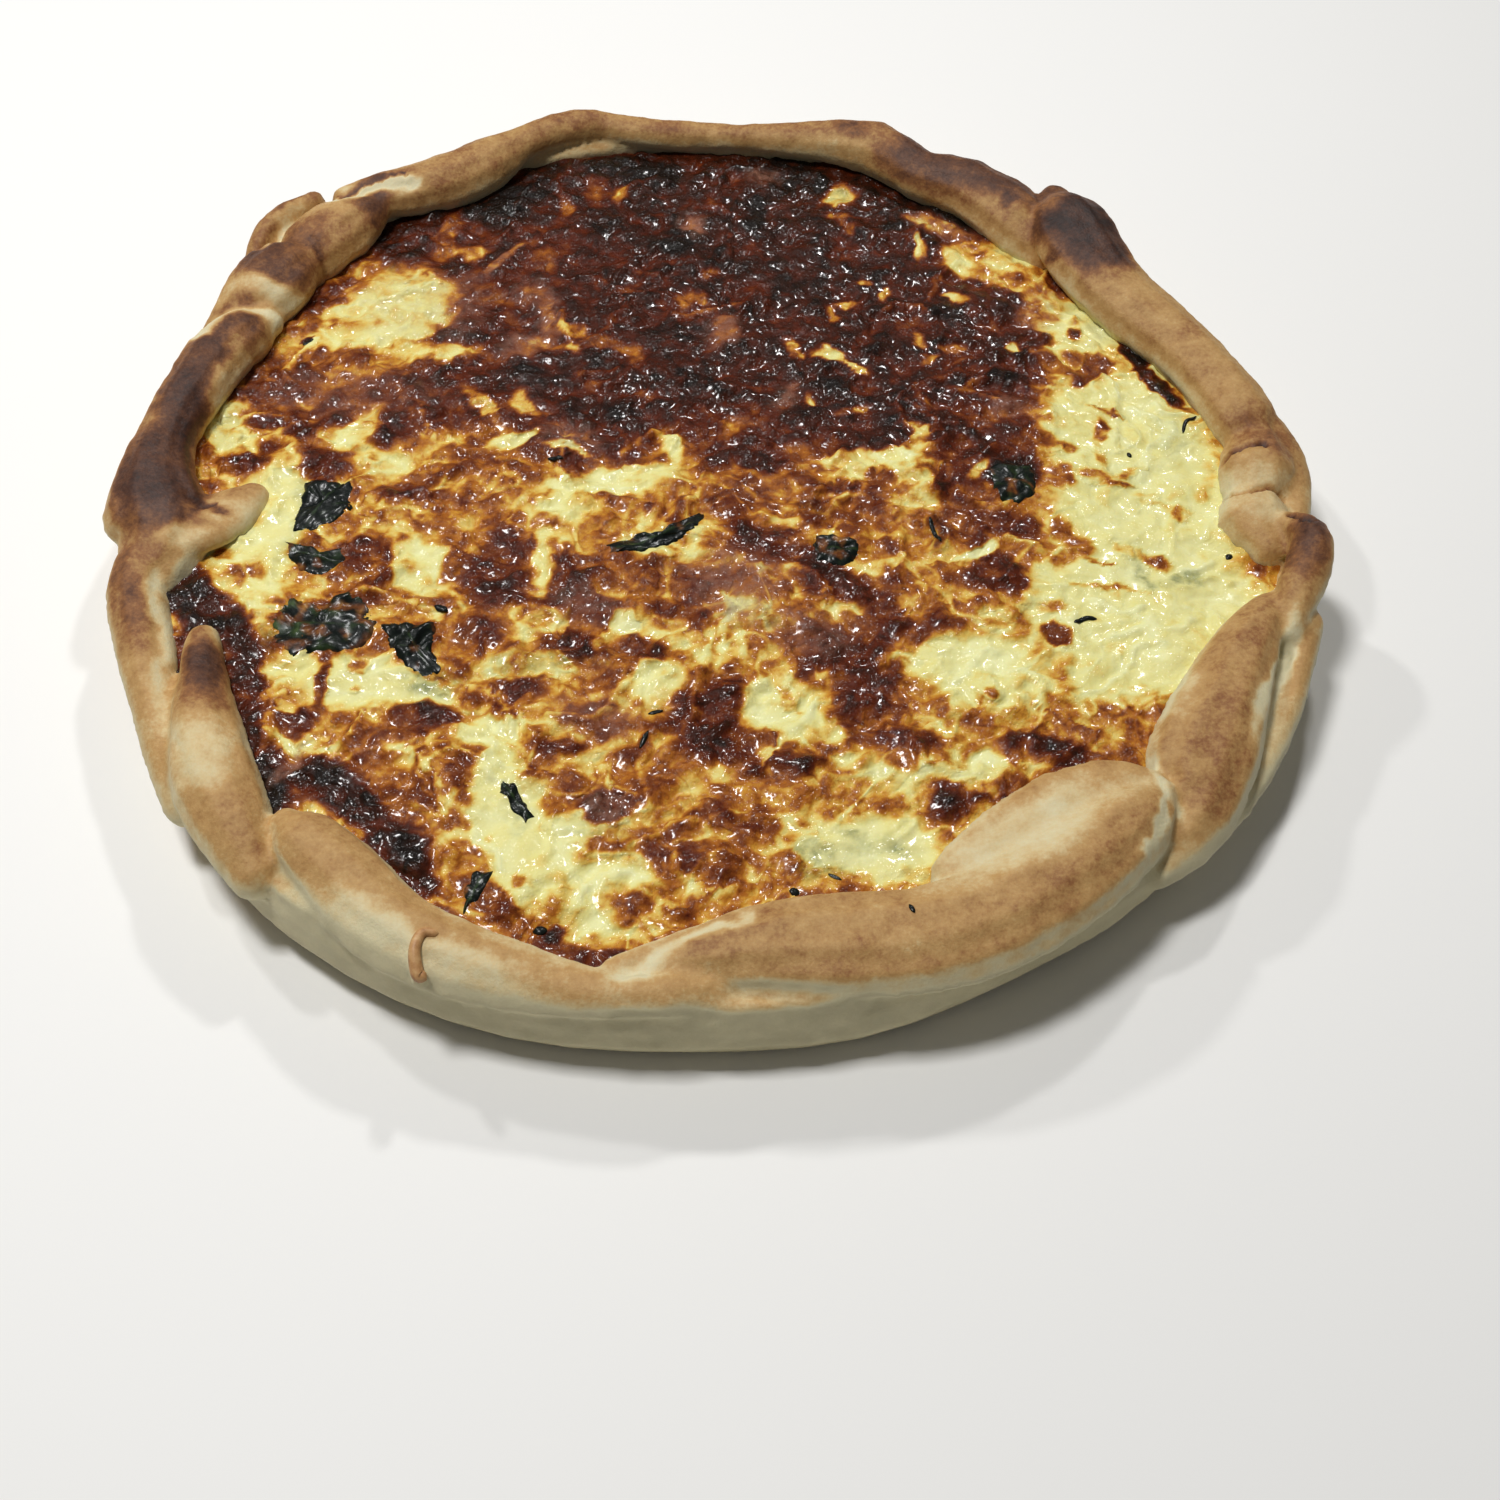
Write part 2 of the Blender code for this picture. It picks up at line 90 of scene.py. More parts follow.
# How brown the filling is: x, y, half length, half width, turn, and baking from 0, set egg, to 1, charred.
# Later patches lie over earlier ones.
BAKED_BACK = (
    (0, 86, 78, 46, 0, 0.82), (-28, 46, 36, 34, 0, 0.8), (36, 46, 38, 34, 0, 0.82),
    (58, 58, 18, 30, 0, 0.76), (-56, 62, 22, 34, 0, 0.76), (-78, 88, 14, 14, 0, 0.75),
    (-101, 26, 14, 14, 0, 0.66), (-86, 32, 24, 7, 0, 0.6), (-70, 20, 17, 11, 0, 0.69),
    (-96, 66, 12, 12, 0, 0.62), (-66, 58, 6, 12, 0, 0.68), (-66, 34, 7, 4, 0, 0.7), (8, 14, 14, 7, 0, 0.68),
    (55, 11, 12, 9, 0, 0.7), (70, 26, 6, 14, 0, 0.7), (-102, 4, 9, 6, 0, 0.66), (-88, 3, 6, 5, 0, 0.64),
    (-60, 9, 13, 7, 0, 0.5), (-80, 58, 13, 12, 20, 0.2), (-91, 54, 7, 3, 10, 0.22),
    (-92, 45, 14, 3.2, 18, 0.25), (-80, 48, 10, 3, 8, 0.14), (-104, 43, 5, 3, -20, 0.32),
    (-71, 42, 11, 3.6, 8, 0.28), (-82, 36, 8, 3.6, 10, 0.38), (-91, 70, 3, 2.4, 0, 0.4),
    (-79, 78, 4, 6, 0, 0.8), (-72, 84, 2.4, 9, -8, 0.52), (-67, 78, 4, 3, 0, 0.36),
    (-57, 76, 7, 1.6, 58, 0.44), (-47, 76, 3, 4, 0, 0.52), (-59, 62, 4, 5, 0, 0.62),
    (-49, 64, 4, 4, 0, 0.6), (-45, 57, 8, 2, 98, 0.5), (-39, 51, 4.5, 2.6, 0, 0.42),
    (-48, 44, 7, 3, 42, 0.56), (-37, 46, 8, 1.8, 25, 0.55), (-27, 46, 6, 2.4, -12, 0.5),
    (-22, 41, 2.4, 6, 8, 0.48), (-32, 33, 14, 10, 0, 0.83), (-57, 25, 7, 1.8, -52, 0.3),
    (-48, 25, 2.6, 3.6, 20, 0.4), (-47, 14, 5, 1.9, 18, 0.1), (-36, 15, 6, 3.6, -8, 0.62),
    (-35, 11, 6, 1.0, -10, 0.2), (-11, 14, 4, 2.6, -62, 0.27), (-20, 4, 13, 4, 10, 0.15),
    (-33, 1, 7, 3, 0, 0.14), (-33, 8, 5, 1.8, -4, 0.76), (-66, 7, 5, 1.2, 6, 0.3),
    (-83, 15, 9, 3.2, 62, 0.25), (-76, 5, 8, 4.4, 0, 0.3), (-114, 15, 5, 5, 0, 0.27),
    (-109, 9, 5, 3.6, 0, 0.18), (-97, 5, 4, 3.4, 0, 0.3), (-90, 20, 4, 6, 0, 0.67),
    (-38, 104, 2.4, 6, 0, 0.62), (-31, 103, 2, 4, 0, 0.44), (-46, 100, 1.6, 8, 12, 0.62),
    (-12, 91, 2.4, 3.4, 0, 0.6), (-11, 65, 4.4, 3, 0, 0.5), (-7, 73, 3.4, 2.6, 0, 0.54),
    (-3, 53, 3.6, 6, 0, 0.52), (-18, 30, 2.6, 2, 0, 0.64), (24, 106, 5, 5, 0, 0.62),
    (24, 106, 3.6, 3.6, 0, 0.24), (24, 98, 4, 1.6, 0, 0.52), (26, 94, 4, 1.4, -62, 0.55),
    (45, 88, 1.8, 4, 8, 0.28), (63, 84, 13, 9, -10, 0.44), (66, 85, 5, 6, 0, 0.22),
    (55, 83, 3.2, 5, 12, 0.27), (58, 89, 5, 2, 10, 0.32), (50, 96, 8, 3, -18, 0.42),
    (69, 77, 5, 5, 0, 0.42), (57, 74, 6, 2.8, 0, 0.82), (15, 48, 1.8, 4, 20, 0.42),
    (23, 46, 4, 2, -16, 0.2), (29, 43, 4, 1.4, -20, 0.36), (47, 48, 3, 1.8, 30, 0.42),
    (45, 54, 1.8, 2.6, 0, 0.36), (53, 53, 4, 1.6, 12, 0.4), (68, 53, 1.8, 1.3, 0, 0.14),
    (27, 65, 3, 1.4, 0, 0.4), (24, 61, 1.6, 3, 10, 0.46), (37, 69, 1.4, 3, 0, 0.42),
    (52, 70, 4, 1.2, -16, 0.28), (31, 73, 1.8, 1.8, 0, 0.45), (20, 31, 1.4, 3, 12, 0.3),
    (43, 22, 2.6, 4, 20, 0.48), (29, 29, 4, 1.3, 20, 0.46), (13, 33, 2.2, 5, -12, 0.64),
    (65, 33, 4, 3, 0, 0.64), (5, 112, 4, 3, -30, 0.66),
)
CHARRED = (
    (-60, 97, 8, 9, 0, 0.95), (-66, 100, 4, 8, 0, 0.94), (-28, 113, 11, 6, 0, 0.96),
    (-52, 110, 5, 8, 0, 0.9), (-86, 84, 3, 7, 0, 0.92), (-15, 84, 6, 4, 0, 0.93), (-12, 34, 8, 5, 0, 0.9),
    (3, 97, 4, 6, 0, 0.95), (8, 116, 10, 6, 0, 0.95), (15, 110, 6, 6, 0, 0.94),
    (46, 107, 6, 4.4, -30, 0.96), (54, 101, 8, 3, -36, 0.96), (62, 95, 4, 2.4, -30, 0.88),
    (22, 35, 3, 4, 0, 0.9), (9, 10, 5, 3, 0, 0.88), (94, 53, 6, 1.8, -62, 0.92), (101, 43, 8, 2, -48, 0.9),
    (66, 12, 6, 6, 0, 0.94), (65, 43, 3.6, 2.6, 0, 0.88), (50, 64, 4, 3, 0, 0.9),
    (-100, 43, 1.8, 1.2, 20, 0.95), (-70, 31, 6, 2.4, 0, 0.86), (-46, 36, 4, 3, 0, 0.88),
)
BAKED_RIGHT = (
    (93, 10, 21, 42, 6, 0.12), (86, 33, 12, 12, 0, 0.16), (100, -24, 16, 24, 0, 0.09),
    (86, -30, 20, 20, 0, 0.12), (84, 61, 8, 9, 0, 0.15), (80, 52, 5, 2, 0, 0.2), (74, 67, 5, 7, -20, 0.42),
    (81, 58, 2.2, 2.4, 0, 0.66), (84, 47, 6, 4.6, 0, 0.58), (76, 49, 6, 2.2, -45, 0.5),
    (83, 43, 3, 2, 0, 0.62), (86, 28, 2.2, 3.2, 0, 0.56), (88, 33.5, 6, 0.9, -25, 0.5),
    (74, 23, 4, 2, 0, 0.52), (79, 22, 1.8, 2, 0, 0.48), (75, 12, 4, 5, 0, 0.52), (84, 12, 4, 2, 0, 0.54),
    (92, 14.5, 3.6, 1.6, 40, 0.46), (87, 9.5, 5, 1, 0, 0.5), (96, 6, 4, 2, -20, 0.33),
    (102, 2.5, 3, 2.2, -40, 0.4), (86, 18, 1.2, 6, 5, 0.36), (33, 14, 13, 2.6, 14, 0.24),
    (41, 11, 2.6, 7, 20, 0.24), (46, 4, 1.8, 6, 8, 0.22), (25, 8, 5, 1.8, 20, 0.28),
    (35, 10.5, 3, 1.5, 0, 0.6), (26, 5, 4, 2, 0, 0.62), (58, 12, 1.8, 4, -20, 0.28),
    (57, -4, 12, 6, 0, 0.6), (66, -5, 4, 3, 0, 0.56), (76, -9, 6, 5, 0, 0.47), (75, -3, 2.6, 3, 0, 0.5),
    (93, -10, 6, 1.5, -25, 0.42), (96, -12, 1.8, 2, 0, 0.56), (84, -16, 8, 4, 0, 0.06),
    (84, -20.5, 7, 0.9, 3, 0.36), (83, -13.3, 4, 0.7, 0, 0.52), (72, -34, 3.4, 3, -45, 0.66),
    (72, -45, 3, 2.2, 0, 0.5), (72, -27, 4, 1.4, 0, 0.42), (74, -57, 7, 4, 10, 0.5),
    (65, -62, 4, 2.4, 30, 0.68), (73, -65, 6, 3.6, -20, 0.74), (80, -55, 6, 4.4, 0, 0.4),
    (88, -54, 3, 3.6, 0, 0.56),
)
BAKED_MIDDLE = (
    (5, -4, 9, 6, 0, 0.58), (28, -4, 12, 6, 0, 0.6), (9, -12, 5, 5, -40, 0.66), (15, -17, 12, 3.6, -8, 0.7),
    (26, -24, 9, 5, -20, 0.69), (35, -33, 6, 9, 0, 0.7), (26, -40, 12, 6, 0, 0.67),
    (34, -51, 8, 11, 10, 0.73), (33, -61, 8, 4, 0, 0.69), (42, -64, 6, 3.4, 0, 0.64),
    (44, -53, 5, 5, -20, 0.46), (27, -31, 4, 1.8, 10, 0.3), (53, -26, 13, 3.4, 4, 0.46),
    (60, -31, 8, 2.4, -10, 0.37), (47, -36, 4, 2.8, 0, 0.62), (43, -13, 3, 4, 0, 0.55),
    (38, -18, 5, 1.5, 0, 0.38), (60, -17, 7, 5, 22, 0.76), (63, -21, 4.6, 3.6, 0, 0.72),
    (57, -11.6, 5, 1.3, 14, 0), (4, -23, 9, 6, -12, 0.5), (8, -33, 11, 2.8, -14, 0.3),
    (1, -42, 8, 5, 0, 0.3), (-8, -28, 11, 8, 0, 0.52), (-3, -30, 3.6, 6, 0, 0.69),
    (-28, -25, 9, 6, -12, 0.62), (-26, -23, 5, 3, 0, 0.65), (-46, -24, 8, 11, -6, 0.68),
    (-47, -22, 5, 7, 0, 0.7), (-27, -33, 10, 4.4, -12, 0.64), (-30, -43, 6.4, 5.4, 0, 0.73),
    (-15, -45, 6.4, 4.6, 0, 0.6), (-14, -44, 3.4, 3, 0, 0.65), (-37, -22, 2.4, 7, 0, 0.18),
    (-34, -6, 6, 4.6, 0, 0.13), (-15, -17, 5, 2.6, 0, 0.22), (-18, -37, 3.4, 3, 0, 0.13),
    (-47, -43, 2.6, 4, 0, 0.64), (-52, -46, 3, 1.8, 0, 0.5), (-37, -57, 5, 3.6, 0, 0.62),
    (-43, -61, 2.6, 4, 0, 0.5), (-45, -52, 2.4, 6, 0, 0.44), (-22, -62, 8, 5, 0, 0.6),
    (-28, -70, 5, 2.2, 0, 0.64), (-38, -50, 9, 4, 0, 0.22), (-11, -53, 6, 5, 0, 0.16),
    (1, -60, 7, 11, 0, 0.72), (8, -73, 4, 5, 0, 0.69), (14, -56, 8, 7, 0, 0.16), (22, -62, 5, 5, 0, 0.2),
    (16, -55, 1.4, 5, 40, 0.42), (16, -73, 5, 3.8, 0, 0.62), (11, -85, 5, 8, 0, 0.54),
    (18, -80, 4, 6, 0, 0.4), (11, -93, 2.6, 4, 0, 0.5), (31, -70, 6, 3, 0, 0.15),
    (56, -46, 13, 11, 0, 0.13), (57, -69, 4, 4, 0, 0.04), (50, -72, 8, 1.6, 4, 0.12),
    (31, -80, 5, 2.2, 0, 0.44), (36, -79, 2.2, 2.6, 0, 0.5), (35, -90, 13, 8, 0, 0.07),
    (24, -92, 4, 3, 0, 0.1), (22, -98, 6, 2, 8, 0.5), (49, -78, 6, 4.4, 0, 0.63),
    (56, -77.5, 6, 1.4, 8, 0.6), (44, -77, 2.6, 3, 0, 0.4), (54, -55, 1.3, 4, 0, 0.36),
)
BAKED_LEFT = (
    (-100, -16, 10, 15, 0, 0.1), (-98, -5, 7, 7, 0, 0.15), (-96, -32, 5, 11, 0, 0.18),
    (-118, -30, 3, 8, -30, 0.3), (-102, -28.5, 7, 1.8, -8, 0.42), (-105, -23, 2.6, 1.8, 0, 0.44),
    (-112, -34, 5, 7, 20, 0.84), (-107, -41, 5, 7, 0, 0.84), (-101, -42, 5, 9, 28, 0.86),
    (-96, -55, 4, 12, 18, 0.86), (-92, -69, 3, 10, 8, 0.84), (-109, -53, 3, 9, 8, 0.82),
    (-89, -79, 5, 9, 0, 0.8), (-84, -14, 6, 4.6, -20, 0.42), (-73, -12, 8, 6, 0, 0.42),
    (-62, -5, 5, 3.6, 0, 0.66), (-72, -4, 4, 3, 0, 0.6), (-76, -24, 5, 8, 8, 0.6),
    (-72, -32, 9, 3.6, 0, 0.52), (-66, -24, 4, 6, 0, 0.16), (-61, -23, 3, 4.4, 0, 0.08),
    (-72, -56, 12, 7, 0, 0.1), (-87, -53, 6, 4, 0, 0.2), (-61, -57, 6, 4, 0, 0.12),
    (-80, -69, 8, 4, 0, 0.28), (-79, -57, 1.3, 8, 3, 0.6), (-85, -66, 4.4, 4.6, 0, 0.66),
    (-84, -63, 2.2, 1.8, 0, 0.3), (-60, -74, 17, 13, 0, 0.47), (-58, -66, 8, 5, 0, 0.6),
    (-57, -64, 5, 3, 0, 0.7), (-47, -77, 3, 6, 0, 0.57), (-57, -81, 6, 4, 0, 0.54),
    (-50, -86, 6, 1.3, 30, 0.3), (-72, -52, 1.8, 2, 0, 0.5), (-72, -58, 2, 1.2, 0, 0.42),
    (-76, -80, 9, 5, -12, 0.86), (-68, -86, 9, 4, -35, 0.88), (-58, -96, 5, 8, 38, 0.88),
    (-53, -104, 4, 4, 0, 0.86), (-86, -85, 5, 6, 0, 0.97), (-45, -67, 5, 4, 0, 0.12),
    (-40, -80, 5, 14, 0, 0.13), (-32, -90, 12, 9, 0, 0.1), (-30, -101, 9, 6, 0, 0.13),
    (-15, -104, 10, 8, 0, 0.15), (-28, -84, 5, 4, 0, 0.44), (-19, -84, 4.6, 3.8, 0, 0.82),
    (-9, -73, 5, 3.4, 0, 0.48), (-6, -80, 4, 3, 0, 0.5), (-8, -92, 2.2, 6, 0, 0.56),
    (-2, -99, 4, 9, 0, 0.52), (-10, -106, 7, 4, 0, 0.48), (-17, -93, 5, 3, 20, 0.4),
    (-28, -112, 12, 2.4, -24, 0.68), (-13, -117.5, 9, 2.2, -6, 0.7), (-38, -105, 6, 2, -44, 0.52),
    (-46, -97, 2.4, 8, 0, 0.44), (-26, -112, 2, 1.7, 0, 0.95), (-34, -101, 1.7, 1.5, 0, 0.46),
)

# Where the egg is stained by the leaves under it, green to blue grey: x, y, half sizes, turn and strength
STAINED = (
    (-84, 74, 3, 5, 0, 0.9), (24, 106, 2.6, 2.6, 0, 0.8), (65, 43, 4, 3, 0, 0.9), (-30, -48, 8, 3, 0, 0.7),
    (-40, -50, 6, 4, 0, 0.5), (102, -17, 4, 3, 0, 0.9), (96, -19, 3, 2, 0, 0.5),
    (-57, -54, 6, 3.4, 10, 0.8), (36, -90, 6, 3, 0, 0.45), (39, -91, 1.6, 1.6, 0, 0.9),
    (30, -87, 2, 1.2, 0, 0.6), (24, -92, 4.4, 2.4, 0, 0.7), (24, -97, 5, 1.8, 0, 0.6),
    (-19, -90, 6, 2.4, 0, 0.45), (-92, -9, 2, 8, 0, 0.7), (-90, -22, 4, 3, 0, 0.6),
    (-32, 3, 4, 1.6, 0, 0.5), (104, 27, 5, 9, 0, 0.3), (47, -7, 1.6, 5, 10, 0.7), (-92, -46, 2, 4, 0, 0.7),
    (20, -2, 4, 3, 0, 0.6), (-36, -88, 2, 4, 20, 0.5), (92, -16, 1.4, 4, 0, 0.8), (-12, -22, 4, 2, 0, 0.4),
)

# Where the browned cheese and mushroom are greyish pink, in the same form
PINKISH = (
    (-80, 58, 13, 12, 20, 0.3), (-45, 57, 9, 3, 98, 0.8), (-49, 45, 7, 4, 42, 0.7), (-49, 64, 5, 5, 0, 0.5),
    (-36, 15, 7, 4, -8, 0.6), (4, -23, 10, 7, -12, 0.85), (8, -33, 12, 3.4, -14, 0.8),
    (-22, -62, 8, 5, 0, 0.6), (-83, -76, 1.6, 6, -20, 0.9), (-66, 58, 6, 11, 0, 0.5),
    (20, -37, 10, 5, 0, 0.5), (-3, 53, 4, 6, 0, 0.7), (-12, 91, 3, 4, 0, 0.9), (13, 33, 3, 5, -12, 0.8),
    (65, 33, 4, 3, 0, 0.7), (5, 112, 4, 3, -30, 0.8), (-27, -33, 8, 4, -12, 0.5), (74, 67, 5, 7, -20, 0.4),
    (-19, -84, 4, 3.4, 0, 0.7), (-57, 76, 7, 1.6, 58, 0.6), (-88, 27, 22, 7, 0, 0.35),
    (50, 96, 8, 3, -18, 0.5),
)

# How mixed the browning is from one millimetre to the next, in the same form
MIXED = (
    (92, 0, 26, 60, 0, 0.35), (-100, -16, 10, 16, 0, 0.3), (0, 78, 80, 54, 0, 0.5),
    (-35, -92, 14, 12, 0, 0.3), (-72, -56, 12, 8, 0, 0.35), (-80, 58, 12, 12, 0, 0.3),
    (35, -90, 14, 8, 0, 0.35),
)

# Crest of the crust, from 0, pale dough, to 1, burnt: x, y, half length, half width, turn and browning
CREST_BROWNING = (
    (30, -112, 56, 9, 8, 0.45), (75, -87, 22, 8, 42, 0.5), (64, -88, 23, 8, 33, 0.2),
    (84, -76, 6, 3, 20, 0.3), (92, -75, 2, 8, 20, 0.16), (103, -60, 9, 18, -18, 0.52),
    (103, -77, 5, 6, 0, 0.64), (112, -42, 5, 9, -22, 0.47), (95, -50, 6, 6, -20, 0.26),
    (117, -46, 2, 18, -20, 0.12), (126, -12, 5, 9, 0, 0.74), (119, 4, 8, 10, 0, 0.26),
    (121, 24, 8, 8, 0, 0.6), (113, 42, 8, 12, 30, 0.43), (98, 64, 9, 12, 38, 0.44),
    (77.5, 74, 1.7, 10, 40, 0.25), (91, 74, 5, 5, 0, 0.5), (83.5, 87, 9.5, 14, 20, 0.96),
    (90, 79, 4.4, 8, 35, 0.86), (75, 98, 4, 6, 0, 0.56), (55, 110, 26, 9, -24, 0.78),
    (66, 99, 2, 4, -10, 0.8), (28, 121, 13, 5, -10, 0.62), (20, 117, 12, 2, -10, 0.36),
    (-10, 124, 24, 4, 0, 0.5), (-48, 119, 16, 7, -34, 0.5), (-75, 100, 18, 8, -34, 0.48),
    (-72, 108, 6, 4, -30, 0.6), (-90, 91, 10, 1.6, 0, 0.1), (-91, 87, 4.4, 7, 24, 0.8),
    (-100, 80, 7, 7, 0, 0.4), (-103, 72, 9, 6, 40, 0.6), (-112, 78, 3, 12, -12, 0.56),
    (-110, 61, 9, 8, 20, 0.76), (-112, 51, 10, 3, 8, 0.2), (-117, 37, 7, 12, -14, 0.8),
    (-121, 14, 6, 14, 0, 0.86), (-121, -8, 12, 15, 0, 0.87), (-111, 17, 3, 18, 6, 0.28),
    (-109, -4, 3, 4, 0, 0.4), (-107, -15, 6, 6, 10, 0.3), (-108, -15, 2.6, 1.6, -20, 0.74),
    (-114, -24, 6, 3, 20, 0.3), (-122, -42, 6, 16, 18, 0.66), (-111, -40, 2.4, 14, 14, 0.2),
    (-110, -70, 4, 16, 24, 0.4), (-102, -61, 6, 10, 10, 0.64), (-101, -58, 4, 6, 0, 0.84),
    (-97, -80, 6, 10, 20, 0.22), (-101, -46, 3, 3, 0, 0.36), (-66, -104, 17, 6, -36, 0.43),
    (-77, -94, 5, 4, 0, 0.42), (-52, -120, 26, 6, -22, 0.16), (-44, -114, 18, 3, -22, 0.42),
    (-8, -123, 20, 5, 0, 0.36), (5, -113, 9, 3, 20, 0.5),
)
CREST_BROWNING_BETWEEN = 0.47
CRUST_WALL_BROWNING = 0.04

# A drip of brown sauce at the foot of the crust's front, in the same form
SAUCE_DRIP = ((-51, -130, 8, 4, -14, 1.0),)

# Folds pressed into the dough: points of x, y, then half width, depth and browning; on the thin lines with
# dark values this is painted shade in the crease
FOLD_LINES = (
    (((-122.5, 36), (-120.4, 42.7), (-115, 45.8), (-107.4, 45), (-103.7, 40.5), (-104.7, 31), (-107.8, 21),
      (-111, 10), (-113, 3)), 2.6, 0.7, 0.16),
    (((-110, 30), (-111.5, 20), (-114, 8)), 1.4, 0.3, 0.3),
    (((-99, 84.5), (-91, 90.5), (-82, 92.4)), 1.5, 1.0, 0.04),
    (((-98, 87.5), (-90.6, 92.6), (-83, 94)), 0.6, 0.8, 0.8),
    (((-103, 71), (-99.5, 66.7), (-97.5, 61), (-97.8, 57)), 0.8, 0.7, 0.7),
    (((-115, -12.6), (-112.3, -14.7), (-110, -13.4)), 0.8, 0.7, 0.92),
    (((-114.7, 66.3), (-112, 79.4), (-108, 85.3)), 1.2, 0.6, 0.3),
    (((-12.4, -123.7), (-8.8, -119), (0, -113.7), (12.3, -110.4)), 1.4, 0.6, 0.2),
    (((-117.7, -33), (-114, -50), (-109.3, -66), (-104, -78)), 1.3, 0.5, 0.3),
    (((90.5, -74), (91, -82), (87, -91)), 1.0, 0.4, 0.1),
)

# Cracks in the crust, each as points of x, y: the first two open where the rim turns in
CRACKS = (
    ((113, 16), (117, 18), (121, 17.4)), ((112, 6), (117, 4.6), (121, 6.4), (125, 5.2)),
    ((124, -3), (126, -6), (128, -7)),
)

# Leaves in the filling: node, outline as x, y corners, how browned it is and how much green shows
LEAVES = (
    ("leaf_left", (
        (-82, -1.3), (-80.5, -9), (-84.9, -14), (-88.6, -16.6), (-92.9, -15.7), (-92.6, -7.8),
        (-92.4, -1.8), (-88, -0.8),
    ), 0.0, 0.0),
    ("leaf_left_curl", (
        (-93.9, -18.4), (-90.2, -20.2), (-85, -22.4), (-80.2, -21.2), (-79, -25), (-84, -28.3),
        (-89.6, -27.6), (-92.8, -23),
    ), 0.2, 0.3),
    ("leaf_left_wide", (
        (-92, -47.1), (-91.7, -39.6), (-89.8, -33.9), (-82.8, -37.3), (-78.4, -32.6), (-73, -35.3),
        (-69.9, -44.6), (-74.2, -49.1), (-81.3, -48.5), (-86.7, -50.7),
    ), 0.42, 0.6),
    ("leaf_left_dark", (
        (-69, -40.8), (-63.9, -39.9), (-57.9, -40.1), (-58, -45.9), (-55.2, -52.6), (-58.5, -54.9),
        (-64.6, -50.3), (-67.7, -45.5),
    ), 0.1, 0.0),
    ("leaf_middle_long", (
        (-24.4, -17), (-19, -13.6), (-12, -11.6), (-7, -8), (-4, -4.5), (-3.6, -8.5), (-8.1, -13.5),
        (-14, -16.6), (-19, -18.8), (-24, -19.8),
    ), 0.15, 0.1),
    ("leaf_middle", (
        (20.4, -11.2), (25.6, -10.4), (30.4, -11.9), (31, -15.4), (27.3, -19), (21.4, -18.4),
    ), 0.25, 0.1),
    ("leaf_right_charred", (
        (59.7, 12.7), (64.9, 14.8), (69.5, 15), (70.5, 11), (69.9, 6), (66.2, 2.3), (61.6, 3), (60.2, 7.1),
    ), 0.2, 0.3),
    ("leaf_front_small", (
        (-39.6, -79), (-37.2, -79.6), (-35, -83), (-32, -87.4), (-34, -88.6), (-36.6, -86), (-38, -83.4),
        (-40, -81.6),
    ), 0.0, 0.0),
    ("leaf_front_sliver", (
        (-39.3, -99.6), (-42.7, -100.4), (-43.6, -103), (-43.6, -109), (-41.2, -106.6), (-40, -103.4),
    ), 0.1, 0.0),
)

# A leaf's points round and across, then its tears, crumples, depth in the egg and ribs, in millimetres
LEAF_SIDES = 72
LEAF_RINGS = 9
LEAF_TEAR = 0.8
LEAF_CRUMPLE = 0.45
LEAF_SUNK = 0.15
LEAF_EDGE_SUNK = 0.5
LEAF_MIDRIB = 0.35
LEAF_RIB_GAP = 2.6

# Slivers of herb on the filling and the rim: points of x, y, then half width
SLIVERS = (
    (((76.5, -31), (79, -29.6), (81.5, -29.4)), 0.6), (((111.2, -10.6), (112.4, -9)), 0.8),
    (((25.4, -96.4), (28, -97.6)), 0.45), (((18, -100.8), (20, -101.2)), 0.9),
    (((40.2, -107), (41.2, -108.8)), 0.45), (((105, 27.5), (106, 31), (108.4, 32.4)), 0.45),
    (((91.6, 19.6), (92.6, 20)), 0.8), (((-59, -35.4), (-56, -36.8)), 0.9),
    (((-39.6, 8.4), (-36, 8)), 0.7), (((-12, -60.5), (-9, -59.6)), 0.5),
    (((-30, -112), (-27.4, -111.4)), 1.0), (((-101, 42.6), (-98.6, 44)), 0.6),
    (((46, -4), (46.8, -7), (48.4, -11)), 0.5), (((-13, -70), (-11.6, -66)), 0.5),
)
SLIVER_RISE = 0.15
SLIVER_FLATNESS = 0.4
SLIVER_STEPS = 6

# A shred of cheese baked on to the front of the rim: points of x, y, height and half width
RIM_SHRED = (
    (-46.3, -117.2, 24.6, 0.8), (-49.3, -117.5, 25.2, 1.0), (-50.3, -121, 25.0, 1.1),
    (-49.3, -124.9, 22.9, 1.3), (-47.8, -124.6, 22.8, 1.0),
)
RIM_SHRED_STEPS = 8
RIM_SHRED_SIDES = 14


def linear(hex_colour):
    """An sRGB hex colour as linear red, green and blue."""
    shares = (int(hex_colour[k : k + 2], 16) / 255 for k in (0, 2, 4))
    return tuple(s / 12.92 if s <= 0.04045 else ((s + 0.055) / 1.055) ** 2.4 for s in shares)


def colour(name, description, hex_colour):
    """A colour that a user can change, from its sRGB hex value."""
    return FloatVectorProperty(
        name=name, description=description, default=linear(hex_colour), size=3, min=0, max=1, subtype="COLOR"
    )


def measure(name, description, millimetres):
    """A measure that a user can change, from its value in millimetres."""
    return FloatProperty(name=name, description=description, default=millimetres * MM, unit="LENGTH")


